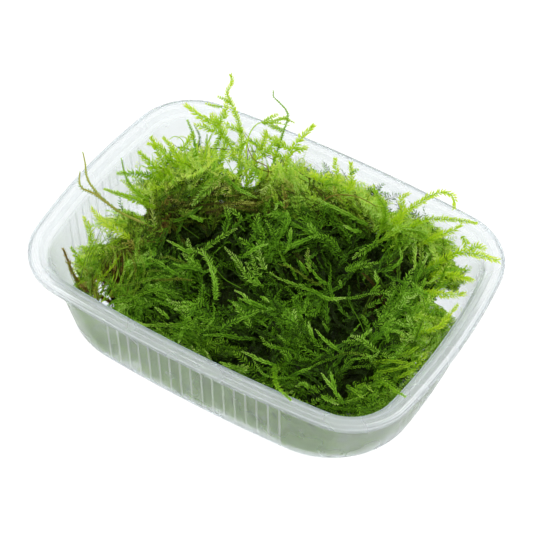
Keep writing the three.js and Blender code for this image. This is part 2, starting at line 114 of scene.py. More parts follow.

# Heart of the clump: a dark sheet of painted shade under the fronds
HEART_SIDES = ((1.5, 5, 16), (8, 4, 11), (15, 3, 5))  # each ring's height, inset, and inset under the ridge
HEART_DEPTH = 4  # under the clump's top
HEART_HOLLOWS = 3.5  # how much deeper it lies in the hollows
HEART_SHADE_TONE = 0.02
HEART_SIDE_LIGHT = 0.32
HEART_AGE = 0.25
HEART_SIDE_AGEING = 0.4

# Fronds scattered over the clump
SCATTER_X = (-62, 66)
SCATTER_Y = (-47, 46)
ROUTE_POINTS = 6
STEEPEST_DROP = 1.2  # from one point of a route to the next
UPTURN = 1.6
HOLLOW_DEPTH = 2  # how much deeper fronds lie in a hollow

# Fronds pressed against the walls
SIDE_COUNT = 1700
SIDE_MARGIN = 1.2  # least distance from their stems to a wall
LOW_SIDE_SHARE = 0.55
LOW_SIDE_HEIGHTS = (1.5, 14)
HIGH_SIDE_HEIGHTS = (14, 29)
SIDE_LENGTHS = (6, 13)
# Side fronds are paler than the rest: painted light standing in for light through the walls, more at the
# left end
SIDE_PAINTED_LIGHT_TONES = ([-50, 50], [1.02, 0.9])  # tones at two places along the tub
SIDE_SHADE = 0.5  # how much darker they are near the top
SIDE_SHADE_START = 21
SIDE_SHADE_FADE = 5

# Tone of the moss in its middle, the painted light that its bright edges add, and the painted shade that
# shaded places take away
MIDDLE_TONE = 0.45
EDGE_LIGHT = 0.3
HOLLOW_SHADE = 0.26
RIDGE_SHADE = 0.2
FRONT_SHADE = 0.2
TONE_SPREAD = 0.12
EDGE_TONE_SPREAD = 0.06
LEAST_BROWN = 0.15  # a frond that is less brown than this is green or yellow

# Leaves of a frond: their length and width, the distance between pairs, their angle to the stem in degrees,
# and how much they stick out of line
FROND_LEAVES = {
    "feather": {"length": 2.3, "width": 0.42, "pitch": 0.95, "spread": 52, "ragged": 0.2},
    "open": {"length": 1.65, "width": 0.4, "pitch": 0.62, "spread": 48, "ragged": 0.32},
    "closed": {"length": 1.45, "width": 0.46, "pitch": 0.56, "spread": 25, "ragged": 0.16},
    "fine": {"length": 0.9, "width": 0.34, "pitch": 0.6, "spread": 30, "ragged": 0.16},
    "stem": None,
}

# How single leaves vary, and the shape of one
LEAF_ANGLE_SPREAD = 9
LEAF_LIFT = 0.1
LEAF_TWIST = 0.35
LEAF_LENGTHS = (0.78, 1.15)
LEAF_WIDEST = 0.4  # how far along it a leaf is widest
LEAF_FOLD = 0.06
LEAF_TONE_SPREAD = 0.05

# Leaves of the standing shoots
SPRIG_LEAF = {"width": 0.5, "pitch": 0.75, "spread": 46, "ragged": 0.22}
STEM_LEAF = {"length": 1.2, "width": 0.4, "pitch": 0.8, "spread": 36, "ragged": 0.2}
SPRIG_ROWS = ((0, 1), (60, 0.9), (120, 0.9))  # turn round the stem in degrees, and size

# Size of the leaves at shares of the way from foot to tip
LEAF_SIZE_ALONG = ([0, 0.15, 0.6, 1], [0.75, 1, 0.92, 0.42])
SPRIG_SIZE_ALONG = ([0, 0.15, 0.7, 1], [0.8, 1, 1, 0.8])


# Camera

def add_camera():
    data = bpy.data.cameras.new("camera")
    data.sensor_width = SENSOR_WIDTH
    data.lens = FOCAL_PIXELS / PHOTO_WIDTH * SENSOR_WIDTH
    data.clip_start = 0.01
    data.clip_end = 20
    camera = bpy.data.objects.new("camera", data)
    right, down, forward = (Vector(v) for v in (CAMERA_RIGHT, CAMERA_DOWN, CAMERA_FORWARD))
    turn = Matrix((right, -down, -forward)).transposed()
    camera.matrix_world = Matrix.Translation(Vector(CAMERA_PLACE) * MM) @ turn.to_4x4()
    bpy.context.scene.collection.objects.link(camera)
    bpy.context.scene.camera = camera


add_camera()


# Node helpers

def new_material(name):
    material = bpy.data.materials.new(name)
    material.use_nodes = True
    nodes = material.node_tree.nodes
    return material, nodes, material.node_tree.links, nodes["Principled BSDF"]


def ramp_of(nodes, stops):
    """A colour ramp through (place, colour) stops"""
    node = nodes.new("ShaderNodeValToRGB")
    elements = node.color_ramp.elements
    elements[0].position, elements[0].color = stops[0][0], (*stops[0][1], 1)
    elements[1].position, elements[1].color = stops[-1][0], (*stops[-1][1], 1)
    for place, colour in stops[1:-1]:
        elements.new(place).color = (*colour, 1)
    return node


def noise_of(nodes, links, scale, detail=2.0):
    coordinates = nodes.new("ShaderNodeTexCoord")
    noise = nodes.new("ShaderNodeTexNoise")
    noise.inputs["Scale"].default_value = scale
    noise.inputs["Detail"].default_value = detail
    links.new(coordinates.outputs["Object"], noise.inputs["Vector"])
    return noise


def attribute_of(nodes, name):
    attribute = nodes.new("ShaderNodeAttribute")
    attribute.attribute_name = name
    return attribute.outputs["Fac"]


def math_of(nodes, links, operation, first, second, clamp=False):
    """A math node of a socket and a number or another socket"""
    node = nodes.new("ShaderNodeMath")
    node.operation = operation
    node.use_clamp = clamp
    links.new(first, node.inputs[0])
    if isinstance(second, (int, float)):
        node.inputs[1].default_value = second
    else:
        links.new(second, node.inputs[1])
    return node.outputs[0]


def mix_of(nodes, links, blend_type, factor, first, second):
    """A colour mix of a socket with a socket or a plain colour"""
    node = nodes.new("ShaderNodeMix")
    node.data_type = "RGBA"
    node.blend_type = blend_type
    if isinstance(factor, (int, float)):
        node.inputs[0].default_value = factor
    else:
        links.new(factor, node.inputs[0])
    links.new(first, node.inputs[6])
    if isinstance(second, tuple):
        node.inputs[7].default_value = (*second, 1)
    else:
        links.new(second, node.inputs[7])
    return node.outputs[2]


# Materials

def tub_plastic():
    """Clear plastic: most light goes straight through, some is scattered. The white attribute clouds it into
    painted highlights along the rib crests and painted shade lines along the rim.
    """
    material, nodes, links, shader = new_material("tub_plastic")
    shader.inputs["Base Color"].default_value = (*PLASTIC_COLOUR, 1)
    shader.inputs["IOR"].default_value = PLASTIC_IOR
    lost = math_of(nodes, links, "MULTIPLY", attribute_of(nodes, "white"), -TRANSMISSION_LOST_IN_PAINTED_LINES)
    links.new(math_of(nodes, links, "ADD", lost, TRANSMISSION), shader.inputs["Transmission Weight"])
    flow_marks = noise_of(nodes, links, 60)
    rough = nodes.new("ShaderNodeMapRange")
    rough.inputs["To Min"].default_value, rough.inputs["To Max"].default_value = ROUGHNESS
    links.new(flow_marks.outputs["Fac"], rough.inputs["Value"])
    links.new(rough.outputs["Result"], shader.inputs["Roughness"])
    milk = nodes.new("ShaderNodeBsdfTranslucent")
    milk.inputs["Color"].default_value = (*MILK_COLOUR, 1)
    blend = nodes.new("ShaderNodeMixShader")
    blend.inputs[0].default_value = MILKINESS
    links.new(shader.outputs[0], blend.inputs[1])
    links.new(milk.outputs[0], blend.inputs[2])
    links.new(blend.outputs[0], nodes["Material Output"].inputs["Surface"])
    tint = nodes.new("ShaderNodeVolumeAbsorption")
    tint.inputs["Color"].default_value = (*ABSORPTION_COLOUR, 1)
    tint.inputs["Density"].default_value = ABSORPTION_DENSITY
    links.new(tint.outputs[0], nodes["Material Output"].inputs["Volume"])
    return material


GREEN_STOPS = (
    (0.0, (0.01, 0.018, 0.001)), (0.2, (0.035, 0.085, 0.003)), (0.4, (0.1, 0.265, 0.008)),
    (0.6, (0.2, 0.47, 0.018)), (0.8, (0.36, 0.68, 0.06)), (1.0, (0.6, 0.86, 0.2)),
)
YOUNG_STOPS = (
    (0.0, (0.04, 0.08, 0.003)), (0.3, (0.17, 0.34, 0.006)), (0.6, (0.46, 0.7, 0.012)),
    (0.8, (0.68, 0.86, 0.05)), (1.0, (0.86, 0.92, 0.2)),
)
OLD_STOPS = (
    (0.0, (0.02, 0.012, 0.002)), (0.3, (0.07, 0.036, 0.006)), (0.5, (0.15, 0.085, 0.015)),
    (0.75, (0.38, 0.27, 0.05)), (1.0, (0.66, 0.54, 0.15)),
)


def leaf_material(name, through):
    """Leaves. Their tone attribute sets how light they are, painted light and shade included. Their age runs
    from -1, yellow, to 1, brown.
    """
    material, nodes, links, shader = new_material(name)
    age = attribute_of(nodes, "age")
    patches = math_of(nodes, links, "SUBTRACT", noise_of(nodes, links, PATCH_SCALE).outputs["Fac"], 0.5)
    shift = math_of(nodes, links, "MULTIPLY", patches, PATCH_STRENGTH)
    tone = math_of(nodes, links, "ADD", attribute_of(nodes, "tone"), shift, clamp=True)
    ramps = [ramp_of(nodes, stops) for stops in (GREEN_STOPS, YOUNG_STOPS, OLD_STOPS)]
    for ramp in ramps:
        links.new(tone, ramp.inputs["Fac"])
    green, young, brown = (ramp.outputs["Color"] for ramp in ramps)
    youth = math_of(nodes, links, "MULTIPLY", age, -1.0, clamp=True)
    old = math_of(nodes, links, "MULTIPLY", age, 1.0, clamp=True)
    colour = mix_of(nodes, links, "MIX", youth, green, young)
    colour = mix_of(nodes, links, "MIX", old, colour, brown)
    links.new(colour, shader.inputs["Base Color"])
    shader.inputs["Roughness"].default_value = LEAF_ROUGHNESS
    shader.inputs["Specular IOR Level"].default_value = LEAF_GLOSS
    behind = nodes.new("ShaderNodeBsdfTranslucent")
    links.new(mix_of(nodes, links, "MULTIPLY", 1.0, colour, LEAF_FILTER), behind.inputs["Color"])
    blend = nodes.new("ShaderNodeMixShader")
    blend.inputs[0].default_value = through
    links.new(shader.outputs[0], blend.inputs[1])
    links.new(behind.outputs[0], blend.inputs[2])
    links.new(blend.outputs[0], nodes["Material Output"].inputs["Surface"])
    return material


plastic = tub_plastic()
leaf_green = leaf_material("moss_leaves", through=0.45)
leaf_young = leaf_material("young_leaves", through=0.5)


# Meshes

def mesh_piece(name, places, faces, material, values=None, smooth=False):
    """A mesh object from vertices in millimetres and triangles, with named values for every vertex"""
    places = np.asarray(places, np.float32) * MM
    faces = np.asarray(faces, np.int32)
    mesh = bpy.data.meshes.new(name)
    mesh.vertices.add(len(places))
    mesh.vertices.foreach_set("co", places.ravel())
    mesh.loops.add(faces.size)
    mesh.loops.foreach_set("vertex_index", faces.ravel())
    mesh.polygons.add(len(faces))
    mesh.polygons.foreach_set("loop_start", np.arange(0, faces.size, faces.shape[1], dtype=np.int32))
    for key, numbers in (values or {}).items():
        attribute = mesh.attributes.new(key, "FLOAT", "POINT")
        attribute.data.foreach_set("value", np.asarray(numbers, np.float32))
    mesh.update(calc_edges=True)
    mesh.validate()
    mesh.polygons.foreach_set("use_smooth", np.full(len(faces), smooth))
    mesh.materials.append(material)
    piece = bpy.data.objects.new(name, mesh)
    bpy.context.scene.collection.objects.link(piece)
    return piece


# Tub

def corner_circle(inset, extra):
    """Centre, radius, first angle and last angle of the corner arc of an outline"""
    long_radius, short_radius = LONG_SIDE_RADIUS - inset, SHORT_SIDE_RADIUS - inset
    radius = CORNER_RADIUS - inset + extra
    long_centre = np.array([0, HALF_WIDTH - LONG_SIDE_RADIUS])
    short_centre = np.array([HALF_LENGTH - SHORT_SIDE_RADIUS, 0])
    to_long, to_short = long_radius - radius, short_radius - radius
    between = short_centre - long_centre
    distance = np.hypot(*between)
    along = (distance ** 2 + to_long ** 2 - to_short ** 2) / (2 * distance)
    across = math.sqrt(to_long ** 2 - along ** 2)
    u = between / distance
    centre = long_centre + along * u + across * np.array([u[1], -u[0]])
    first = math.atan2(*(centre - short_centre)[::-1])
    last = math.atan2(*(centre - long_centre)[::-1])
    return centre, radius, first, last


def corner_extra(z):
    return BASE_CORNER_EXTRA * max(0, 1 - z / SHOULDER_HEIGHT)


def inner_inset(z):
    """Inset of the walls' inner face at a height"""
    heights = [WALL_FOOT_HEIGHT, SHOULDER_HEIGHT, TUB_HEIGHT]
    return np.interp(z, heights, [WALL_FOOT_INSET, SHOULDER_INSET, FLANGE_WIDTH])


def quarter_outline(inset, extra):
    """A quarter of an outline in small steps, from the middle of a short side to that of a long side"""
    centre, radius, first, last = corner_circle(inset, extra)
    arcs = [
        ((HALF_LENGTH - SHORT_SIDE_RADIUS, 0), SHORT_SIDE_RADIUS - inset, 0, first),
        (centre, radius, first, last),
        ((0, HALF_WIDTH - LONG_SIDE_RADIUS), LONG_SIDE_RADIUS - inset, last, math.pi / 2),
    ]
    points = []
    for middle, arc_radius, start, end in arcs:
        angles = np.linspace(start, end, ARC_STEPS)[:-1]
        points.append(middle + arc_radius * np.c_[np.cos(angles), np.sin(angles)])
    return np.concatenate([*points, [(0, HALF_WIDTH - inset)]])


def rib_marks(count):
    """Places along half a side where its ribs' edges lie, and 1 where the place is on a crest"""
    crest, foot, beside = RIB_HALF_WIDTHS
    places, raised = [0.0, crest, foot, beside], [1, 1, 0, 0]
    for i in range(1, (count + 1) // 2):
        middle = i * RIB_PITCH
        places += [middle - beside, middle - foot, middle - crest]
        places += [middle + crest, middle + foot, middle + beside]
        raised += [0, 0, 1, 1, 0, 0]
    return np.array(places), np.array(raised, float)


def tub_ring(inset, z, ribs=0.0):
    """One closed ring of the tub's section. ribs is how far the ribs stand out of it."""
    curve = quarter_outline(inset, corner_extra(z))
    short, short_up = rib_marks(RIBS_SHORT_SIDE)
    long, long_up = rib_marks(RIBS_LONG_SIDE)
    short_face = np.interp(short, curve[:, 1], curve[:, 0]) + short_up * ribs
    long_face = np.interp(long, curve[::-1, 0], curve[::-1, 1]) + long_up * ribs
    travelled = np.r_[0, np.cumsum(np.linalg.norm(np.diff(curve, axis=0), axis=1))]
    first = np.interp(short[-1], curve[:, 1], travelled)
    last = np.interp(-long[-1], -curve[:, 0], travelled)
    at = np.linspace(first, last, CORNER_STEPS)[1:-1]
    corner = np.c_[np.interp(at, travelled, curve[:, 0]), np.interp(at, travelled, curve[:, 1])]
    quarter = np.concatenate([np.c_[short_face, short], corner, np.c_[long, long_face][::-1]])
    half = np.concatenate([quarter, (quarter * [-1, 1])[::-1][1:-1]])
    ring = np.concatenate([half, -half])
    return np.c_[ring, np.full(len(ring), z)]


def painted_line_ring(ribs, inset, z):
    """1 where the plastic is clouded: painted highlights at a ring's places on a rib's crest, and painted
    shade lines along the lines of the rim
    """
    if z > SHOULDER_HEIGHT and inset in PAINTED_SHADE_LINES:
        return np.ones(len(tub_ring(inset, z)))
    short_up, long_up = rib_marks(RIBS_SHORT_SIDE)[1], rib_marks(RIBS_LONG_SIDE)[1]
    quarter = np.concatenate([short_up, np.zeros(CORNER_STEPS - 2), long_up[::-1]]) * (ribs > 0)
    half = np.concatenate([quarter, quarter[::-1][1:-1]])
    return np.concatenate([half, half])


def loft(rings, first, last):
    """Vertices and triangles of rings joined in order, closed by a point at each end"""
    count = len(rings[0])
    places = np.concatenate([[first], *rings, [last]])
    i = np.arange(count)
    j = (i + 1) % count
    faces = [np.c_[np.zeros(count, int), 1 + j, 1 + i]]
    for k in range(len(rings) - 1):
        low, high = 1 + k * count, 1 + (k + 1) * count
        faces += [np.c_[low + i, low + j, high + j], np.c_[low + i, high + j, high + i]]
    base = 1 + (len(rings) - 1) * count
    faces.append(np.c_[np.full(count, len(places) - 1), base + i, base + j])
    return places, np.concatenate(faces)


def outer_wall_inset(z):
    return inner_inset(z) - WALL


def build_tub():
    """The tub, lofted through its section: up the outside, over the rim and down the inside"""
    under = [(10.2, 0), (9.2, 0.08), (8.6, 0.4), (8.15, 1.1), (7.9, 1.9)]
    ribbed = [
        (RIB_BOTTOM - RIB_RUNOUT, 0), (RIB_BOTTOM, RIB_HEIGHT), (11.6, RIB_HEIGHT), (19.9, RIB_HEIGHT),
        (RIB_TOP, RIB_HEIGHT), (RIB_TOP + RIB_RUNOUT, 0),
    ]
    rim = [
        (5.75, 29.3), (5.3, 29.8), (5.1, 29.97), (3.5, 31.33), (3.3, 31.5), (2.9, 31.6), (1.1, 31.6),
        (0.7, 31.35), (0.6, 30.35), (0.45, 30.15), (0.12, 30.15), (0, 30.3), (0, 31.35), (0.1, 31.75),
        (0.35, 32.05), (0.75, 32.2), (1.15, 32.18), (1.5, 32.02), (1.75, 31.93), (2.0, 31.98), (3.2, 32.05),
        (3.5, 32.0), (3.75, 31.8), (3.9, 31.7), (5.95, 30.1), (6.1, 30.0), (6.4, 29.75), (6.55, 29.3),
    ]
    inside = [(inner_inset(z), z) for z in (29.1, 28.2, 19.9, 11.6, 3.4, 2.8)]
    inside += [(WALL_FOOT_INSET, WALL_FOOT_HEIGHT), (8.7, 1.75), (9.2, 1.1), (9.8, 0.75), (10.6, 0.6)]
    sections = [(inset, z, 0) for inset, z in under]
    sections += [(outer_wall_inset(z), z, ribs) for z, ribs in ribbed]
    sections += [(inset, z, 0) for inset, z in rim + inside]
    places, faces = loft([tub_ring(*section) for section in sections], (0, 0, 0), (0, 0, WALL))
    # The white attribute: painted highlights on the rib crests and painted shade lines along the rim
    white = np.concatenate([[0], *[painted_line_ring(ribs, inset, z) for inset, z, ribs in sections], [0]])
    tub = mesh_piece("tub_clear", places, faces, plastic, {"white": white}, smooth=True)
    tub.data.set_sharp_from_angle(angle=math.radians(28))
    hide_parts("tub")
    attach(tub, "root")


build_tub()


# Where the moss may lie

clump_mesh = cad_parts["moss_clump"].data
clump_tree = BVHTree.FromPolygons([v.co / MM for v in clump_mesh.vertices],
                                  [tuple(p.vertices) for p in clump_mesh.polygons])


def top_of_clump(x, y):
    """Height of the clump's top, or None beside the clump"""
    hit = clump_tree.ray_cast(Vector((x, y, 100)), Vector((0, 0, -1)))[0]
    return None if hit is None else hit.z


def room_inside(x, y, z):
    """Distance from a point to the walls' inner face"""
    inset = float(inner_inset(z))
    centre, radius, first, last = corner_circle(inset, corner_extra(z))
    p = np.array([abs(x), abs(y)])
    if p[0] > centre[0] and p[1] > centre[1]:
        return radius - np.hypot(*(p - centre))
    to_long = (LONG_SIDE_RADIUS - inset) - np.hypot(p[0], p[1] - HALF_WIDTH + LONG_SIDE_RADIUS)
    to_short = (SHORT_SIDE_RADIUS - inset) - np.hypot(p[0] - HALF_LENGTH + SHORT_SIDE_RADIUS, p[1])
    return min(to_long, to_short)


def confined(point, margin=STEM_MARGIN):
    """The point, moved towards the middle if it would touch a wall"""
    x, y, z = point
    if z > TUB_HEIGHT + 0.5:
        return point
    short = margin - room_inside(x, y, z)
    if short > 0:
        away = np.hypot(x, y)
        x, y = x * (1 - short / away), y * (1 - short / away)
    return np.array([x, y, max(z, LOWEST_STEM)])


# Fronds

class Tangle:
    """Leaves and stems gathered into one mesh"""

    def __init__(self):
        self.places, self.faces, self.tones, self.ages = [], [], [], []
        self.count = 0

    def add(self, places, faces, tones, ages):
        self.places.append(places)
        self.faces.append(faces + self.count)
        self.tones.append(np.broadcast_to(tones, len(places)))
        self.ages.append(np.broadcast_to(ages, len(places)))
        self.count += len(places)

    def piece(self, name, material):
        values = {"tone": np.concatenate(self.tones), "age": np.concatenate(self.ages)}
        return mesh_piece(name, np.concatenate(self.places), np.concatenate(self.faces), material, values)


def smooth_line(points, step):
    """Evenly spaced points on a smooth curve through the given ones, and their tangents"""
    points = np.asarray(points, float)
    ends = np.concatenate([[2 * points[0] - points[1]], points, [2 * points[-1] - points[-2]]])
    t = np.linspace(0, 1, 9)[:-1, None]
    spans = []
    for a, b, c, d in zip(ends[:-3], ends[1:-2], ends[2:-1], ends[3:]):
        spans.append(0.5 * (2 * b + (c - a) * t + (2 * a - 5 * b + 4 * c - d) * t ** 2
                            + (3 * b - a - 3 * c + d) * t ** 3))
    line = np.concatenate([*spans, points[-1:]])
    lengths = np.r_[0, np.cumsum(np.linalg.norm(np.diff(line, axis=0), axis=1))]
    count = max(3, int(round(lengths[-1] / step)) + 1)
    at = np.linspace(0, lengths[-1], count)
    places = np.stack([np.interp(at, lengths, line[:, k]) for k in range(3)], axis=1)
    tangents = np.gradient(places, axis=0)
    return places, tangents / np.linalg.norm(tangents, axis=1)[:, None]


def unit(v):
    return v / np.maximum(np.linalg.norm(v, axis=-1, keepdims=True), 1e-9)


def add_stem(tangle, points, radius, tone, age, sides=3):
    """A thin stem that tapers to its tip"""
    places, tangents = smooth_line(points, STEM_STEP)
    across = unit(np.cross(tangents, [0.31, 0.55, 0.78]))
    other = np.cross(tangents, across)
    share = np.linspace(0, 1, len(places))[:, None]
    rings = []
    for k in range(sides):
        turn = 2 * math.pi * k / sides
        outward = math.cos(turn) * across + math.sin(turn) * other
        rings.append(places + radius * (1 - 0.6 * share) * outward)
    vertices = np.stack(rings, axis=1).reshape(-1, 3)
    i = np.arange(len(places) - 1)[:, None] * sides
    k = np.arange(sides)[None, :]
    a, b = (i + k).ravel(), (i + (k + 1) % sides).ravel()
    faces = np.concatenate([np.c_[a, b, b + sides], np.c_[a, b + sides, a + sides]])
    tangle.add(vertices, faces, tone, age)


def add_leaves(tangle, points, face, tone, age, length, width, pitch, spread, ragged,
               size_along=LEAF_SIZE_ALONG):
    """Two rows of folded leaves along a line. tone holds how light they are at its foot and at its tip."""
    places, tangents = smooth_line(points, pitch)
    n = len(places)
    share = np.linspace(0, 1, n)
    size = np.interp(share, *size_along)
    closing = np.interp(share, [0, 0.8, 1], [1, 1, 0.45])
    side = unit(np.cross(face, tangents))
    up = np.cross(tangents, side)
    for hand in (-1, 1):
        angle = (np.radians(spread + rng.normal(0, LEAF_ANGLE_SPREAD, n)) * closing)[:, None]
        lift = rng.normal(LEAF_LIFT, ragged * 1.4, n)[:, None]
        direction = unit(np.cos(angle) * tangents + hand * np.sin(angle) * side + lift * up)
        twist = rng.normal(0, LEAF_TWIST, n)[:, None]
        flat = unit(np.cross(direction, up + twist * side))
        fold = np.cross(direction, flat)
        reach = (length * size * rng.uniform(*LEAF_LENGTHS, n))[:, None]
        half = (width / 2 * (0.5 + 0.5 * size))[:, None]
        root = places + hand * 0.05 * side
        middle = root + LEAF_WIDEST * reach * direction + LEAF_FOLD * fold
        droop = rng.normal(-0.05, 0.1, n)[:, None]
        tip = root + reach * (direction + droop * up)
        vertices = np.stack([root, middle + half * flat, tip, middle - half * flat], axis=1).reshape(-1, 3)
        at = 4 * np.arange(n)
        faces = np.concatenate([np.c_[at, at + 1, at + 2], np.c_[at, at + 2, at + 3]])
        tones = np.interp(share, [0, 1], tone) + rng.normal(0, LEAF_TONE_SPREAD, n)
        leaf_tones = np.stack([tones - 0.1, tones, tones + 0.1, tones], axis=1).ravel()
        tangle.add(vertices, faces, np.clip(leaf_tones, 0, 1), age)


def add_frond(tangle, points, face, tone, age=0.0, style="open", size=1.0):
    """A stem with two rows of leaves, or a bare one"""
    leaves, stem_age = FROND_LEAVES[style], min(1, age + 0.1)
    if leaves is None:
        add_stem(tangle, points, STEM_RADIUS * BARE_STEM_THICKENING, tone[0], stem_age)
        return
    add_stem(tangle, points, STEM_RADIUS, max(0.05, tone[0] - 0.1), stem_age)
    own = dict(leaves, length=leaves["length"] * size, width=leaves["width"] * (0.4 + 0.6 * size))
    add_leaves(tangle, points, face, tone, age, **own)


# What the photograph shows of the moss. Places are in the photograph's pixels.

# Hollows between the fronds, where the fronds lie deeper and painted shade darkens them: place, then radius
# in millimetres
HOLLOWS = [
    (193, 225, 4.5), (203, 237, 5), (185, 235, 3), (171, 238, 2.5), (176, 252, 4), (169, 262, 3),
    (201, 263, 3), (208, 283, 3), (221, 250, 4), (233, 242, 4), (243, 230, 5), (236, 217, 5),
    (267, 227, 2.5), (234, 277, 2.5), (229, 287, 3.5), (243, 290, 3.5), (223, 295, 3), (172, 289, 3),
    (163, 302, 4), (296, 228, 3.5), (332, 228, 4), (298, 262, 4.5), (322, 258, 6), (279, 271, 2.5),
    (352, 280, 6), (363, 284, 4), (262, 291, 4.5), (285, 291, 4), (269, 324, 3.5), (312, 324, 3.5),
    (335, 315, 6), (352, 301, 3.5), (367, 308, 3.5), (375, 299, 3.5), (380, 252, 5), (400, 272, 4.5),
    (416, 254, 4.5), (433, 278, 3), (340, 326, 3.5), (374, 325, 3.5), (388, 345, 3.5), (363, 380, 4.5),
    (394, 379, 2.5), (361, 361, 3.5), (231, 343, 3.5), (222, 355, 4), (246, 365, 3.5), (258, 346, 3),
    (268, 354, 3.5), (287, 383, 2.5), (296, 397, 2.5), (317, 387, 2.5), (307, 354, 3), (322, 369, 2.5),
    (275, 220, 3), (141, 286, 2.5), (115, 290, 2.5), (148, 315, 2.5), (168, 319, 3.5), (230, 327, 3),
    (215, 345, 3.5),
]

# Old brown parts: place, then radius in millimetres
BROWN_PATCHES = [
    (112, 262, 3), (117, 274, 3.5), (133, 247, 2.5), (155, 212, 3), (175, 208, 3.5), (200, 208, 3.5),
    (232, 204, 3.5), (255, 198, 3), (298, 262, 3), (370, 283, 3), (105, 300, 2.5), (90, 287, 3),
    (165, 220, 3), (285, 194, 3), (230, 287, 3), (410, 255, 3),
]

# Gaps through which the tub shows: place and radius
GAPS = [
    (99, 288, 5), (104, 300, 4), (114, 231, 3), (107, 241, 2.5), (132, 205, 6), (123, 190, 3),
    (142, 212, 3), (227, 163, 4), (236, 169, 4), (251, 180, 6), (258, 163, 3), (256, 139, 6),
    (267, 164, 2.5), (245, 181, 4), (120, 235, 2.5), (73, 278, 3), (392, 208, 3), (441, 299, 5),
    (460, 263, 3), (456, 257, 2), (450, 305, 5), (460, 300, 5), (464, 290, 3), (455, 312, 4), (470, 275, 3),
]

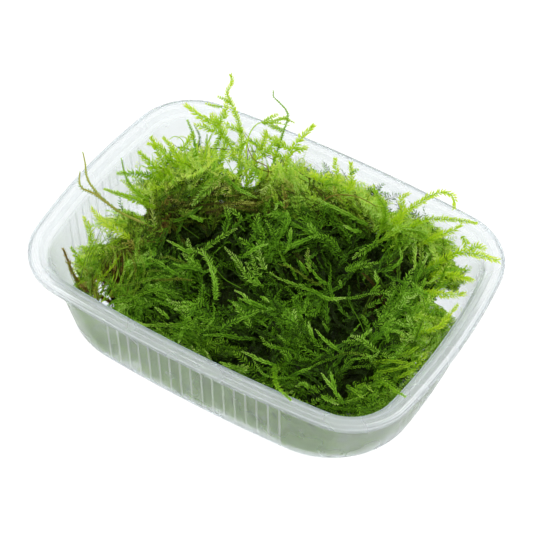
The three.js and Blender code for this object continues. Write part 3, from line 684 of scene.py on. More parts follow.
# Fronds and stems that can be followed one by one: style, tone, age, and the route from foot to tip
SEEN_FRONDS = [
    ("closed", 0.72, 0, (326, 298), (316, 292), (305, 288), (292, 283), (280, 279), (271, 273)),
    ("closed", 0.78, 0, (316, 293), (326, 298), (334, 299), (344, 298)),
    ("fine", 0.62, 0, (340, 298), (352, 298), (365, 295), (376, 293)),
    ("open", 0.68, 0, (370, 293), (382, 292), (392, 294)),
    ("closed", 0.64, 0, (330, 286), (322, 281), (314, 273), (307, 264)),
    ("closed", 0.58, 0, (308, 276), (305, 270), (300, 262)),
    ("fine", 0.5, 0, (318, 271), (312, 263), (305, 256)),
    ("open", 0.64, 0, (340, 252), (335, 244), (329, 238), (320, 236), (311, 237)),
    ("closed", 0.58, 0, (320, 236), (310, 238), (300, 242), (291, 246), (286, 251)),
    ("open", 0.68, 0, (318, 238), (313, 231), (308, 224)),
    ("closed", 0.7, 0, (290, 246), (290, 238), (291, 229)),
    ("closed", 0.74, 0, (243, 256), (250, 252), (257, 248), (267, 244)),
    ("open", 0.62, 0, (260, 249), (252, 247), (246, 243), (240, 239)),
    ("stem", 0.6, 0, (264, 264), (261, 256), (258, 248)),
    ("open", 0.66, 0, (257, 232), (256, 223), (259, 214)),
    ("open", 0.6, 0, (277, 250), (276, 240), (272, 230), (266, 221)),
    ("closed", 0.64, 0, (286, 230), (289, 220), (287, 211)),
    ("open", 0.84, 0, (258, 286), (250, 279), (243, 270), (237, 261), (231, 254), (225, 248)),
    ("open", 0.74, 0, (259, 284), (255, 277), (250, 269), (246, 263)),
    ("closed", 0.6, 0, (272, 313), (262, 307), (252, 303), (241, 299)),
    ("closed", 0.74, 0, (268, 311), (258, 305), (248, 300), (242, 294), (236, 291)),
    ("open", 0.58, 0, (236, 318), (246, 315), (257, 311)),
    ("closed", 0.78, 0, (260, 296), (268, 301)),
    ("closed", 0.62, 0, (310, 291), (307, 302), (304, 312)),
    ("fine", 0.72, 0, (292, 347), (285, 341), (278, 335)),
    ("closed", 0.76, 0, (316, 342), (311, 333), (309, 323)),
    ("closed", 0.72, 0, (341, 352), (330, 344), (322, 337), (316, 330)),
    ("fine", 0.6, 0, (328, 331), (323, 322)),
    ("stem", 0.64, 0, (364, 332), (361, 324), (357, 316), (352, 308), (348, 300)),
    ("open", 0.84, 0, (378, 353), (370, 346), (361, 339), (352, 336)),
    ("closed", 0.76, 0, (361, 339), (366, 334), (371, 330)),
    ("fine", 0.76, 0, (350, 360), (362, 358), (374, 356), (379, 352)),
    ("closed", 0.74, 0, (362, 232), (353, 230), (345, 226)),
    ("open", 0.7, 0, (378, 242), (370, 247), (362, 252), (353, 258)),
    ("open", 0.7, 0, (345, 270), (355, 268), (366, 265), (377, 263)),
    ("closed", 0.76, 0, (371, 291), (377, 286), (377, 280), (375, 272)),
    ("fine", 0.64, 0, (342, 288), (340, 281)),
    ("open", 0.54, 0, (302, 328), (292, 322), (283, 315)),
    ("closed", 0.76, 0, (277, 366), (268, 363), (258, 359), (250, 355), (243, 352)),
    ("fine", 0.68, 0, (300, 378), (285, 378), (272, 377), (263, 374), (257, 366), (252, 357)),
    ("closed", 0.68, 0, (250, 372), (240, 369), (230, 366), (221, 363)),
    ("closed", 0.58, 0, (298, 353), (284, 349), (273, 347), (264, 344)),
    ("open", 0.66, 0, (290, 364), (288, 355), (281, 352)),
    ("fine", 0.64, 0, (346, 353), (334, 358), (322, 362), (312, 367), (302, 371)),
    ("closed", 0.54, 0, (290, 377), (300, 372), (309, 369)),
    ("closed", 0.76, 0, (344, 404), (338, 396), (333, 388), (327, 381), (322, 374)),
    ("closed", 0.72, 0, (336, 390), (333, 382), (331, 373)),
    ("closed", 0.82, 0, (321, 396), (329, 400), (337, 404)),
    ("closed", 0.8, 0, (309, 389), (304, 384), (297, 386)),
    ("fine", 0.62, 0, (318, 393), (312, 387)),
    ("closed", 0.54, 0, (256, 339), (240, 338), (222, 335), (205, 335)),
    ("fine", 0.6, 0.3, (330, 360), (340, 355), (352, 353), (366, 356)),
    ("fine", 0.5, 0.1, (332, 377), (345, 369), (358, 367), (370, 366)),
    ("closed", 0.64, 0, (372, 363), (386, 361), (400, 362), (413, 364)),
    ("closed", 0.62, 0, (378, 372), (392, 370), (406, 366), (414, 362)),
    ("open", 0.88, 0, (373, 376), (382, 380), (390, 386)),
    ("closed", 0.72, 0, (355, 388), (364, 385), (372, 391)),
    ("closed", 0.62, 0, (346, 385), (355, 391), (362, 397)),
    ("open", 0.78, 0, (380, 331), (388, 324), (396, 321), (403, 325)),
    ("closed", 0.68, 0, (388, 343), (387, 333), (393, 331), (402, 333)),
    ("open", 0.7, 0, (374, 327), (383, 318), (392, 311), (398, 306)),
    ("stem", 0.62, 0, (379, 349), (382, 341), (389, 341)),
    ("open", 0.76, 0, (414, 369), (420, 360), (428, 352)),
    ("closed", 0.58, 0, (393, 380), (404, 375), (415, 370)),
    ("closed", 0.56, 0, (396, 357), (408, 353), (418, 347)),
    ("closed", 0.64, 0, (384, 272), (395, 266), (401, 259), (400, 249)),
    ("fine", 0.62, 0, (390, 304), (394, 293), (399, 284)),
    ("open", 0.7, 0, (403, 283), (408, 277), (412, 270)),
    ("open", 0.7, 0, (437, 300), (426, 295), (418, 290), (411, 282)),
    ("closed", 0.64, 0, (376, 243), (386, 238), (395, 232), (404, 227)),
    ("stem", 0.52, 0, (199, 238), (192, 233), (185, 228), (178, 222)),
    ("closed", 0.74, 0, (197, 252), (184, 250), (176, 245), (168, 241)),
    ("open", 0.74, 0, (216, 300), (216, 290), (215, 280), (212, 268), (208, 259), (200, 251), (189, 249)),
    ("closed", 0.82, 0, (215, 300), (216, 290), (215, 282), (212, 272), (209, 262), (203, 253)),
    ("open", 0.76, 0, (204, 250), (212, 243), (220, 238), (228, 233), (236, 229)),
    ("closed", 0.7, 0, (203, 222), (198, 219), (191, 216)),
    ("stem", 0.52, 0, (210, 229), (208, 222), (205, 214)),
    ("open", 0.58, 0, (225, 234), (226, 225), (228, 217), (225, 208)),
    ("open", 0.78, 0, (242, 219), (236, 213), (228, 208)),
    ("open", 0.76, 0, (207, 189), (200, 197), (193, 205)),
    ("open", 0.8, 0, (192, 263), (190, 251), (188, 240)),
    ("open", 0.78, 0, (201, 267), (192, 262), (183, 254)),
    ("fine", 0.64, 0.4, (187, 263), (176, 260), (168, 257), (160, 258)),
    ("closed", 0.66, 0, (181, 277), (170, 270), (160, 263), (151, 258)),
    ("fine", 0.66, 0.6, (150, 280), (165, 280), (178, 279), (191, 280)),
    ("fine", 0.64, 0.3, (103, 291), (118, 287), (132, 284), (150, 280)),
    ("fine", 0.6, 0.3, (124, 280), (138, 276), (150, 271), (163, 271)),
    ("stem", 0.64, 0, (241, 288), (233, 284), (226, 280), (220, 274), (215, 267)),
    ("closed", 0.56, 0, (206, 273), (194, 268), (184, 267), (174, 264)),
    ("fine", 0.6, 0, (182, 299), (174, 295), (165, 291), (154, 290), (142, 294), (130, 300), (120, 308)),
    ("open", 0.82, 0, (204, 298), (195, 302), (185, 304), (176, 304), (168, 300)),
    ("open", 0.8, 0, (198, 304), (187, 308), (176, 309)),
    ("closed", 0.78, 0, (169, 319), (163, 313), (156, 308)),
    ("closed", 0.76, 0.1, (184, 324), (172, 325), (158, 325), (145, 325), (133, 322)),
    ("closed", 0.64, 0, (205, 332), (194, 328), (182, 328)),
    ("open", 0.74, 0, (184, 330), (186, 319), (187, 309)),
    ("closed", 0.78, 0, (183, 330), (180, 338), (176, 345)),
    ("closed", 0.68, 0, (213, 302), (214, 312), (212, 321), (205, 330)),
    ("open", 0.62, 0, (221, 332), (229, 324), (238, 320), (246, 317)),
    ("open", 0.62, 0, (150, 197), (142, 194), (136, 189), (128, 185), (122, 181)),
    ("fine", 0.62, 0.2, (84, 288), (87, 270), (92, 255), (98, 246), (108, 238)),
    ("fine", 0.66, 0.2, (90, 288), (94, 272), (102, 256), (112, 245), (124, 234)),
    ("fine", 0.62, 0.3, (98, 280), (104, 266), (112, 254), (122, 244)),
    ("stem", 0.72, 0.2, (86, 272), (88, 258), (93, 246), (98, 236), (101, 228)),
    ("stem", 0.7, 0.3, (80, 284), (83, 268), (87, 254), (91, 244)),
    ("open", 0.78, 0, (120, 227), (113, 222), (105, 219)),
    ("closed", 0.62, 0, (128, 232), (118, 240), (108, 248), (100, 258)),
    ("stem", 0.8, 0.1, (170, 189), (175, 179), (181, 169)),
    ("stem", 0.66, 0.6, (272, 172), (262, 170), (253, 165), (248, 160), (248, 150), (247, 140), (242, 131)),
    ("stem", 0.54, 0.2, (271, 156), (263, 154), (257, 148), (252, 141), (245, 133)),
    ("stem", 0.5, 0.8, (310, 179), (300, 173), (290, 166), (280, 162), (270, 158), (260, 153), (251, 151)),
    ("stem", 0.66, 0.5, (333, 198), (325, 193), (315, 187), (305, 181), (295, 176)),
    ("closed", 0.76, 0, (368, 225), (358, 220), (348, 214), (338, 209), (328, 205), (319, 199)),
    ("open", 0.8, 0, (276, 204), (275, 196), (272, 188)),
    ("closed", 0.84, 0, (285, 206), (279, 203), (275, 209)),
    ("open", 0.86, 0, (172, 157), (165, 152), (159, 145), (155, 138)),
    ("open", 0.9, 0, (156, 167), (158, 159), (161, 151), (161, 147)),
    ("open", 0.86, 0, (187, 155), (180, 153), (173, 147), (166, 140)),
    ("fine", 0.8, 0, (195, 155), (192, 148), (188, 140), (182, 136), (177, 139)),
    ("fine", 0.5, 0.1, (197, 148), (200, 142), (199, 134), (194, 125)),
    ("feather", 0.76, 0, (140, 175), (138, 170), (137, 163)),
    ("closed", 0.62, 0, (166, 170), (158, 167), (148, 168)),
    ("open", 0.56, 0, (165, 155), (172, 159), (182, 163), (189, 164)),
    ("stem", 0.8, 0, (202, 157), (207, 145), (215, 130)),
    ("stem", 0.5, 0.1, (202, 147), (221, 149), (243, 151), (255, 151)),
    ("feather", 0.86, 0, (214, 164), (212, 155), (204, 148)),
    ("open", 0.88, 0, (221, 160), (229, 156), (237, 146), (239, 139)),
    ("feather", 0.88, 0, (247, 162), (248, 153), (247, 142), (244, 131)),
    ("open", 0.84, 0, (223, 164), (221, 170), (229, 173), (239, 179)),
    ("feather", 0.8, 0, (218, 179), (210, 187), (202, 194), (193, 204)),
    ("closed", 0.66, 0, (222, 174), (229, 181), (237, 188), (248, 194), (255, 197)),
    ("feather", 0.72, 0, (143, 196), (137, 192), (130, 187), (125, 183)),
    ("open", 0.7, 0, (141, 203), (133, 200), (125, 197)),
    ("feather", 0.66, 0, (158, 200), (156, 191), (152, 183), (145, 176)),
    ("feather", 0.54, 0, (159, 186), (165, 183), (171, 181), (177, 182)),
    ("feather", 0.72, 0, (193, 168), (189, 160), (184, 153)),
    ("open", 0.44, 0.3, (168, 199), (180, 195), (192, 191), (203, 188)),
    ("open", 0.42, 0.5, (176, 206), (190, 201), (204, 199), (216, 200)),
    ("fine", 0.4, 0.8, (196, 206), (212, 204), (228, 203), (246, 205)),
    ("fine", 0.42, 0.8, (206, 213), (222, 209), (238, 208), (256, 210)),
    ("open", 0.5, 0.2, (186, 184), (196, 178), (206, 173), (213, 169)),
    ("open", 0.46, 0.1, (150, 206), (160, 199), (168, 194), (178, 190)),
]

# Fans of thin stems: how many, tone, age, first and last foot, first and last tip
FIBRE_FANS = [
    (30, 0.74, -0.6, (72, 284), (104, 304), (98, 226), (134, 236)),
    (12, 0.62, 0.4, (80, 292), (98, 304), (68, 262), (90, 268)),
    (22, 0.62, 0.0, (100, 296), (134, 296), (108, 242), (146, 232)),
    (44, 0.42, 1.0, (102, 286), (126, 282), (104, 252), (128, 250)),
    (12, 0.76, -0.7, (222, 178), (262, 186), (212, 128), (262, 132)),
]

# Bits of moss stuck to the inside of the near wall: ends of each bit
WALL_BITS = [
    (96, 339, 108, 347), (110, 343, 116, 353), (158, 376, 161, 379), (182, 383, 190, 390),
    (147, 347, 152, 352), (177, 391, 182, 396), (137, 343, 138, 347), (236, 395, 238, 399),
    (250, 410, 252, 416), (252, 416, 258, 419), (273, 413, 276, 418), (137, 354, 139, 357),
    (222, 383, 223, 386),
]


def photo_ray(px, py):
    """Direction from the camera through a pixel"""
    right, down = (px - PHOTO_WIDTH / 2) / FOCAL_PIXELS, (py - PHOTO_WIDTH / 2) / FOCAL_PIXELS
    return unit(np.array(CAMERA_FORWARD) + right * np.array(CAMERA_RIGHT) + down * np.array(CAMERA_DOWN))


def pixels_of(points):
    """Where points appear in the photograph"""
    away = np.atleast_2d(points) - CAMERA_PLACE
    across, down, far = (away @ np.array(v) for v in (CAMERA_RIGHT, CAMERA_DOWN, CAMERA_FORWARD))
    return PHOTO_WIDTH / 2 + FOCAL_PIXELS * np.c_[across, down] / far[:, None]


def in_gap(place):
    """Whether a place would show in one of the gaps"""
    px, py = pixels_of(place)[0]
    return any(math.hypot(px - gx, py - gy) < radius + 2 for gx, gy, radius in GAPS)


def seen_on_moss(px, py, nearer=0.0):
    """The place of the clump or skyline seen at a pixel, moved towards the camera by nearer"""
    ray = photo_ray(px, py)
    hit = clump_tree.ray_cast(Vector(CAMERA_PLACE), Vector(ray))[0]
    if hit is None:
        hit = np.array(CAMERA_PLACE) + ray * (SKYLINE_HEIGHT - CAMERA_PLACE[2]) / ray[2]
    return np.array(hit) - nearer * ray


def seen_on_near_wall(px, py):
    """The place on the near wall's inner face seen at a pixel"""
    ray = photo_ray(px, py)
    place, y = np.array(CAMERA_PLACE), -HALF_WIDTH
    for _ in range(4):
        place = np.array(CAMERA_PLACE) + ray * (y - CAMERA_PLACE[1]) / ray[1]
        radius = LONG_SIDE_RADIUS - inner_inset(place[2])
        y = LONG_SIDE_RADIUS - HALF_WIDTH - math.sqrt(radius ** 2 - place[0] ** 2)
    return place


hollows = [(*seen_on_moss(px, py)[:2], radius) for px, py, radius in HOLLOWS]
brown_patches = [(*seen_on_moss(px, py)[:2], radius) for px, py, radius in BROWN_PATCHES]


# Where the moss is dense or brown, and where painted light and painted shade make it bright or dark

DENSE_EDGE = np.array([
    (-41, -36), (-47, -25), (-44, -14), (-44, -1), (-36, 12), (-21, 17), (-13, 23), (5, 31), (22, 33),
    (39, 35), (52, 27), (54, 13), (60, 3), (61, -24), (46, -40), (3, -42), (-27, -42),
], float)

# Shaded places at the front: x, y and radius
SHADED_FRONT = [(22, -36, 24), (44, -30, 12)]


def depth_in_dense(x, y):
    """How far a place lies inside the dense moss, or minus its distance outside"""
    a, b = DENSE_EDGE, np.roll(DENSE_EDGE, -1, axis=0)
    ab, ap = b - a, np.array([x, y]) - a
    share = np.clip((ap * ab).sum(1) / (ab ** 2).sum(1), 0, 1)
    nearest = np.hypot(*(ap - share[:, None] * ab).T).min()
    spans = (a[:, 1] > y) != (b[:, 1] > y)
    rise = np.where(spans, ab[:, 1], 1)
    crossings = (spans & (ap[:, 0] < ab[:, 0] * ap[:, 1] / rise)).sum()
    return nearest if crossings % 2 else -nearest


def nearness(x, y, spots):
    """1 at the middle of a spot, falling to 0 beyond its radius"""
    total = sum(math.exp(-((x - sx) ** 2 + (y - sy) ** 2) / radius ** 2) for sx, sy, radius in spots)
    return min(total, 1)


def heading_of(x, y):
    """Which way a place lies from the clump's centre, in degrees from +x"""
    return math.degrees(math.atan2(y - CLUMP_CENTRE[1], x - CLUMP_CENTRE[0]))


def behind_share(x, y):
    """1 at the back and left of the clump, where light comes through it, 0 at the front"""
    headings, shares = [-180, -150, -130, -40, -15, 20, 60, 180], [1, 0.85, 0, 0, 0.6, 0.8, 1, 1]
    return float(np.interp(heading_of(x, y), headings, shares))


def ridge_side(x, y):
    """1 on the side where the dense moss ends in a dark ridge, at the back and left, 0 elsewhere"""
    return float(np.interp(heading_of(x, y), [-180, -158, -143, 60, 80, 180], [1, 1, 0, 0, 1, 1]))


def ridge_share(x, y):
    """1 along the dark brown ridge of the dense moss, 0 elsewhere"""
    return float(np.interp(depth_in_dense(x, y), [0.5, 3, 7, 11], [0, 1, 0.9, 0])) * ridge_side(x, y)


def edge_share(x, y):
    """0 in the middle of the dense moss, 1 at its bright edges and more beyond them"""
    fade = 10 - 4 * ridge_side(x, y)
    return float(np.clip(1 - depth_in_dense(x, y) / fade, 0, 1.4)) * behind_share(x, y)


def tone_with_painted_light(x, y):
    """Tone of the moss by place: painted light round the back and sides, dark in the middle, with painted
    shade in the hollows, along the ridge and at the front
    """
    shade = HOLLOW_SHADE * nearness(x, y, hollows) + RIDGE_SHADE * ridge_share(x, y)
    shade += FRONT_SHADE * nearness(x, y, SHADED_FRONT)
    return MIDDLE_TONE + EDGE_LIGHT * edge_share(x, y) - shade


def build_heart():
    """Dark heart of the clump, seen only between the fronds: painted shade under them, with painted light on
    its sides
    """
    steps = 90
    angles = np.linspace(0, 2 * math.pi, steps, endpoint=False)
    cx, cy = CLUMP_CENTRE
    reach = []
    for angle in angles:
        far = 60.0
        while depth_in_dense(cx + far * math.cos(angle), cy + far * math.sin(angle)) < 3:
            far -= 0.5
        reach.append(far)
    reach = np.array(reach)
    rings = []
    behind = np.array([ridge_side(cx + math.cos(angle), cy + math.sin(angle)) for angle in angles])
    for z, inset, inset_behind in HEART_SIDES:
        held = reach - inset - (inset_behind - inset) * behind
        rings.append(np.c_[cx + held * np.cos(angles), cy + held * np.sin(angles), np.full(steps, z)])
    for share in (0.98, 0.9, 0.8, 0.7, 0.6, 0.5, 0.4, 0.3, 0.2, 0.1):
        x, y = cx + reach * share * np.cos(angles), cy + reach * share * np.sin(angles)
        rounding = 3 * max(0, share - 0.85) / 0.15
        tops = [top_of_clump(a, b) for a, b in zip(x, y)]
        sunk = [HEART_DEPTH + HEART_HOLLOWS * nearness(a, b, hollows) + rounding for a, b in zip(x, y)]
        rings.append(np.c_[x, y, np.array(tops) - np.array(sunk)])
    foot, crown = (cx, cy, HEART_SIDES[0][0]), (cx, cy, top_of_clump(cx, cy) - HEART_DEPTH)
    places, faces = loft(rings, foot, crown)
    # Painted shade: the heart is almost black, with painted light added on its sides
    tones = np.clip(rng.normal(HEART_SHADE_TONE, 0.03, len(places)), 0, 1)
    ages = np.clip(rng.normal(HEART_AGE, 0.2, len(places)), 0, 1)
    sides = slice(0, 1 + len(HEART_SIDES) * steps)
    tones[sides] += HEART_SIDE_LIGHT
    ages[sides] *= HEART_SIDE_AGEING
    return mesh_piece("moss_heart_painted_shade", places, faces, leaf_green, {"tone": tones, "age": ages})


# Fronds that can be followed in the photograph

def random_face(tilt):
    return unit(np.array([rng.normal(0, tilt), rng.normal(0, tilt), 1.0]))


def tones_around(tone):
    return float(np.clip(tone - 0.08, 0, 1)), float(np.clip(tone + 0.08, 0, 1))


def build_seen_fronds():
    """The tangle of these fronds, and where and which way each runs in plan"""
    tangle, runs = Tangle(), []
    to_camera = -photo_ray(PHOTO_WIDTH / 2, PHOTO_WIDTH / 2)
    for style, tone, brown, *route in SEEN_FRONDS:
        lift = np.linspace(0.6, 2.0, len(route))
        points = [confined(seen_on_moss(*pixel, nearer)) for pixel, nearer in zip(route, lift)]
        face = unit(to_camera + rng.normal(0, 0.2, 3))
        x, y = points[-1][:2]
        age = brown if brown else -min(1, edge_share(x, y))
        add_frond(tangle, points, face, (tone - 0.2, tone + 0.14), age, style, rng.uniform(0.9, 1.1))
        for a, b in zip(points[:-1], points[1:]):
            runs.append((*(a + b)[:2] / 2, *unit((b - a)[:2])))
    return tangle, np.array(runs)


seen_tangle, seen_runs = build_seen_fronds()


# The rest of the moss

def flow(x, y):
    """Which way a frond runs: outwards near the edge, elsewhere like the seen fronds around it"""
    weight = 1 / (np.hypot(seen_runs[:, 0] - x, seen_runs[:, 1] - y) ** 3 + 8)
    inner = (seen_runs[:, 2:] * weight[:, None]).sum(0)
    outward = np.array([x - CLUMP_CENTRE[0], y - CLUMP_CENTRE[1]])
    share = float(np.clip(1 - depth_in_dense(x, y) / 10, 0, 1)) * (0.25 + 0.75 * behind_share(x, y))
    mixed = share * unit(outward) + (1 - share) * unit(inner)
    return math.atan2(mixed[1], mixed[0])


def laid_route(x, y, heading, length, depth, rise, curl):
    """A line along the clump's top, up to its edge or a gap, depth above it at first and then rising"""
    points, last = [], None
    for k in range(ROUTE_POINTS):
        top = top_of_clump(x, y)
        if top is None:
            break
        last = top if last is None else max(top, last - STEEPEST_DROP)
        share = k / (ROUTE_POINTS - 1)
        point = confined(np.array([x, y, last + depth + rise * share ** UPTURN]))
        if in_gap(point):
            break
        points.append(point)
        x += math.cos(heading) * length / (ROUTE_POINTS - 1)
        y += math.sin(heading) * length / (ROUTE_POINTS - 1)
        heading += curl / ROUTE_POINTS
    return points


def age_at(x, y):
    """Brown in the old patches and along the ridge, yellow towards the bright edges"""
    patch = nearness(x, y, brown_patches) * rng.uniform(0.3, 1.2)
    ridge = ridge_share(x, y) * rng.uniform(-0.1, 0.9)
    youth = min(1, edge_share(x, y)) * rng.uniform(0.1, 1)
    brown = max(patch, ridge)
    return float(brown if brown > LEAST_BROWN else -youth)


def fill(tangle, count, area, style, depth, rise, length, painted_light_shift, spread=0.6, tilt=0.5, avoid=0.0):
    """Scatters fronds over the part of the clump's top that area says, clear of the hollows if avoid is 1"""
    made = 0
    while made < count:
        x, y = rng.uniform(*SCATTER_X), rng.uniform(*SCATTER_Y)
        if not area(x, y) or top_of_clump(x, y) is None:
            continue
        hollow = nearness(x, y, hollows)
        heading = flow(x, y) + rng.normal(0, spread)
        own_depth = rng.uniform(*depth) - HOLLOW_DEPTH * hollow
        own_length = rng.uniform(*length)
        own_rise = rng.uniform(*rise)
        route = laid_route(x, y, heading, own_length, own_depth, own_rise, rng.normal(0, 0.8))
        if len(route) < 3:
            continue
        hollow = max(hollow, *(nearness(*point[:2], hollows) for point in route[2:]))
        if rng.uniform() < avoid * hollow:
            continue
        x, y = route[len(route) // 2][:2]
        near = x + rng.normal(0, 1.8), y + rng.normal(0, 1.8)
        tone_spread = TONE_SPREAD + EDGE_TONE_SPREAD * min(1, edge_share(x, y))
        # Painted light and shade: the place's tone, lighter for fronds on top and darker for deeper ones
        tone = tone_with_painted_light(*near) + painted_light_shift + rng.normal(0, tone_spread)
        age = age_at(x, y)
        add_frond(tangle, route, random_face(tilt), tones_around(tone), age, style, rng.uniform(0.8, 1.15))
        made += 1


def fill_sides(tangle):
    """Fronds pressed against the walls, seen through the plastic, made paler by painted light and darker
    towards the top
    """
    made = 0
    while made < SIDE_COUNT:
        angle = rng.uniform(0, 2 * math.pi)
        outward = np.array([math.cos(angle), math.sin(angle), 0])
        low = rng.uniform() < LOW_SIDE_SHARE
        z = rng.uniform(*(LOW_SIDE_HEIGHTS if low else HIGH_SIDE_HEIGHTS))
        start = np.array([*CLUMP_CENTRE, z]) + 90 * outward
        hit, normal = clump_tree.ray_cast(Vector(start), Vector(-outward))[:2]
        if hit is None:
            continue
        inward = unit(np.array([-normal.x, -normal.y, 0]))
        along = np.array([-inward[1], inward[0], 0])
        slope = rng.normal(0.3, 0.9)
        way = unit(along * rng.choice([-1, 1]) + np.array([0, 0, slope]))
        length = rng.uniform(*SIDE_LENGTHS)
        foot = np.array(hit) + inward * rng.uniform(-0.4, 1.5)
        points = [confined(foot + way * length * share, SIDE_MARGIN) for share in (0, 0.35, 0.7, 1)]
        if any(in_gap(point) for point in points):
            continue
        # Painted light: pale tones stand in for the light that comes through the walls
        tone = np.interp(hit.x, *SIDE_PAINTED_LIGHT_TONES) + rng.normal(0, 0.1)
        tone -= SIDE_SHADE * np.clip((z - SIDE_SHADE_START) / SIDE_SHADE_FADE, 0, 1)
        face = -inward + rng.normal(0, 0.3, 3)
        add_frond(tangle, points, face, tones_around(tone), 0.1, rng.choice(["open", "feather"]))
        made += 1


def moss_piece(piece):
    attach(piece, "root")
    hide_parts("moss_clump")


def tangle_piece(name, tangle):
    moss_piece(tangle.piece(name, leaf_green))


def dense_left(x, y):
    return x < 4 and depth_in_dense(x, y) > -1


def dense_right(x, y):
    return x >= 4 and depth_in_dense(x, y) > -1


def airy(x, y):
    return -10 < depth_in_dense(x, y) < 4 - 3.5 * ridge_side(x, y) and behind_share(x, y) > 0.3


def build_wall_bits(tangle):
    for ax, ay, bx, by in WALL_BITS:
        ends = [seen_on_near_wall(px, py) + [0, 0.3, 0] for px, py in ((ax, ay), (bx, by))]
        points = [ends[0], (ends[0] + ends[1]) / 2 + [0, 0.1, 0.1], ends[1]]
        add_frond(tangle, points, np.array([0, -1, 0.1]), (0.4, 0.5), 0, "open")


def build_fibres(tangle):
    for count, tone, age, foot_a, foot_b, tip_a, tip_b in FIBRE_FANS:
        for share in rng.uniform(0, 1, count):
            foot = np.array(foot_a) * (1 - share) + np.array(foot_b) * share
            share = np.clip(share + rng.normal(0, 0.35), -0.1, 1.1)
            tip = np.array(tip_a) * (1 - share) + np.array(tip_b) * share
            tip = foot + (tip - foot) * rng.uniform(0.45, 1.05)
            bow = (tip - foot)[::-1] * [-1, 1] * rng.normal(0.1, 0.12)
            pixels = [foot, foot * 0.7 + tip * 0.3 + bow, foot * 0.35 + tip * 0.65 + bow, tip]
            lift = rng.uniform(-2.5, 1) + np.linspace(0, rng.uniform(0.5, 3), len(pixels))
            points = [confined(seen_on_moss(*pixel, nearer)) for pixel, nearer in zip(pixels, lift)]
            own_tone, own_age = tone + rng.normal(0, 0.1), np.clip(age + rng.normal(0, 0.35), -1, 1)
            style = "stem" if rng.uniform() < 0.25 else "fine"
            add_frond(tangle, points, random_face(0.6), tones_around(own_tone), own_age, style)


def build_moss():
    """The heart, and the fronds over it. Each fill gives a count, an area, a style, the range of the fronds'
    depth, rise and length, and how much lighter they are than the place that they lie in: painted shade on
    the deeper fronds, painted light on the top ones."""
    moss_piece(build_heart())
    for half, area in (("left", dense_left), ("right", dense_right)):
        under = Tangle()
        fill(under, 420, area, "open", (-5, -2.5), (0.5, 2), (8, 15), -0.28, spread=1.6)
        fill(under, 300, area, "closed", (-3.2, -1.2), (0.5, 2), (9, 18), -0.18, spread=1.0, avoid=0.6)
        tangle_piece("moss_under_" + half, under)
        top = Tangle()
        fill(top, 380, area, "closed", (-1.8, -0.3), (0.3, 2), (9, 18), 0.04, avoid=0.9)
        fill(top, 380, area, "open", (-1.6, -0.2), (0.3, 2), (8, 15), 0.06, spread=0.8, avoid=0.95)
        fill(top, 120, area, "open", (-0.8, 0.4), (0.6, 2.6), (7, 13), 0.3, avoid=0.97)
        tangle_piece("moss_top_" + half, top)
    edge = Tangle()
    fill(edge, 300, airy, "open", (-12, -3), (1, 3), (8, 15), -0.32, spread=1.0, tilt=0.9)
    fill(edge, 110, airy, "feather", (-8, -2), (1, 5), (8, 16), -0.22, spread=0.9, tilt=0.9)
    fill(edge, 60, airy, "closed", (-6, -0.5), (1, 6), (8, 16), -0.12, spread=0.9, tilt=0.9)
    tangle_piece("moss_edge", edge)
    tips = Tangle()
    fill(tips, 55, airy, "feather", (-2, 0.5), (1, 5), (7, 13), 0.12, spread=0.9, tilt=0.6)
    fill(tips, 40, airy, "feather", (-1, 1), (2, 5), (7, 12), 0.28, spread=0.8, tilt=0.6)
    fill(tips, 50, airy, "fine", (-5, 0), (2, 6), (8, 16), 0.06, spread=0.9, tilt=0.9)
    build_fibres(tips)
    tangle_piece("moss_tips", tips)
    sides = Tangle()
    fill_sides(sides)
    build_wall_bits(sides)
    tangle_piece("moss_sides", sides)
    tangle_piece("moss_seen", seen_tangle)


build_moss()


# Standing shoots, along the same routes as in the model

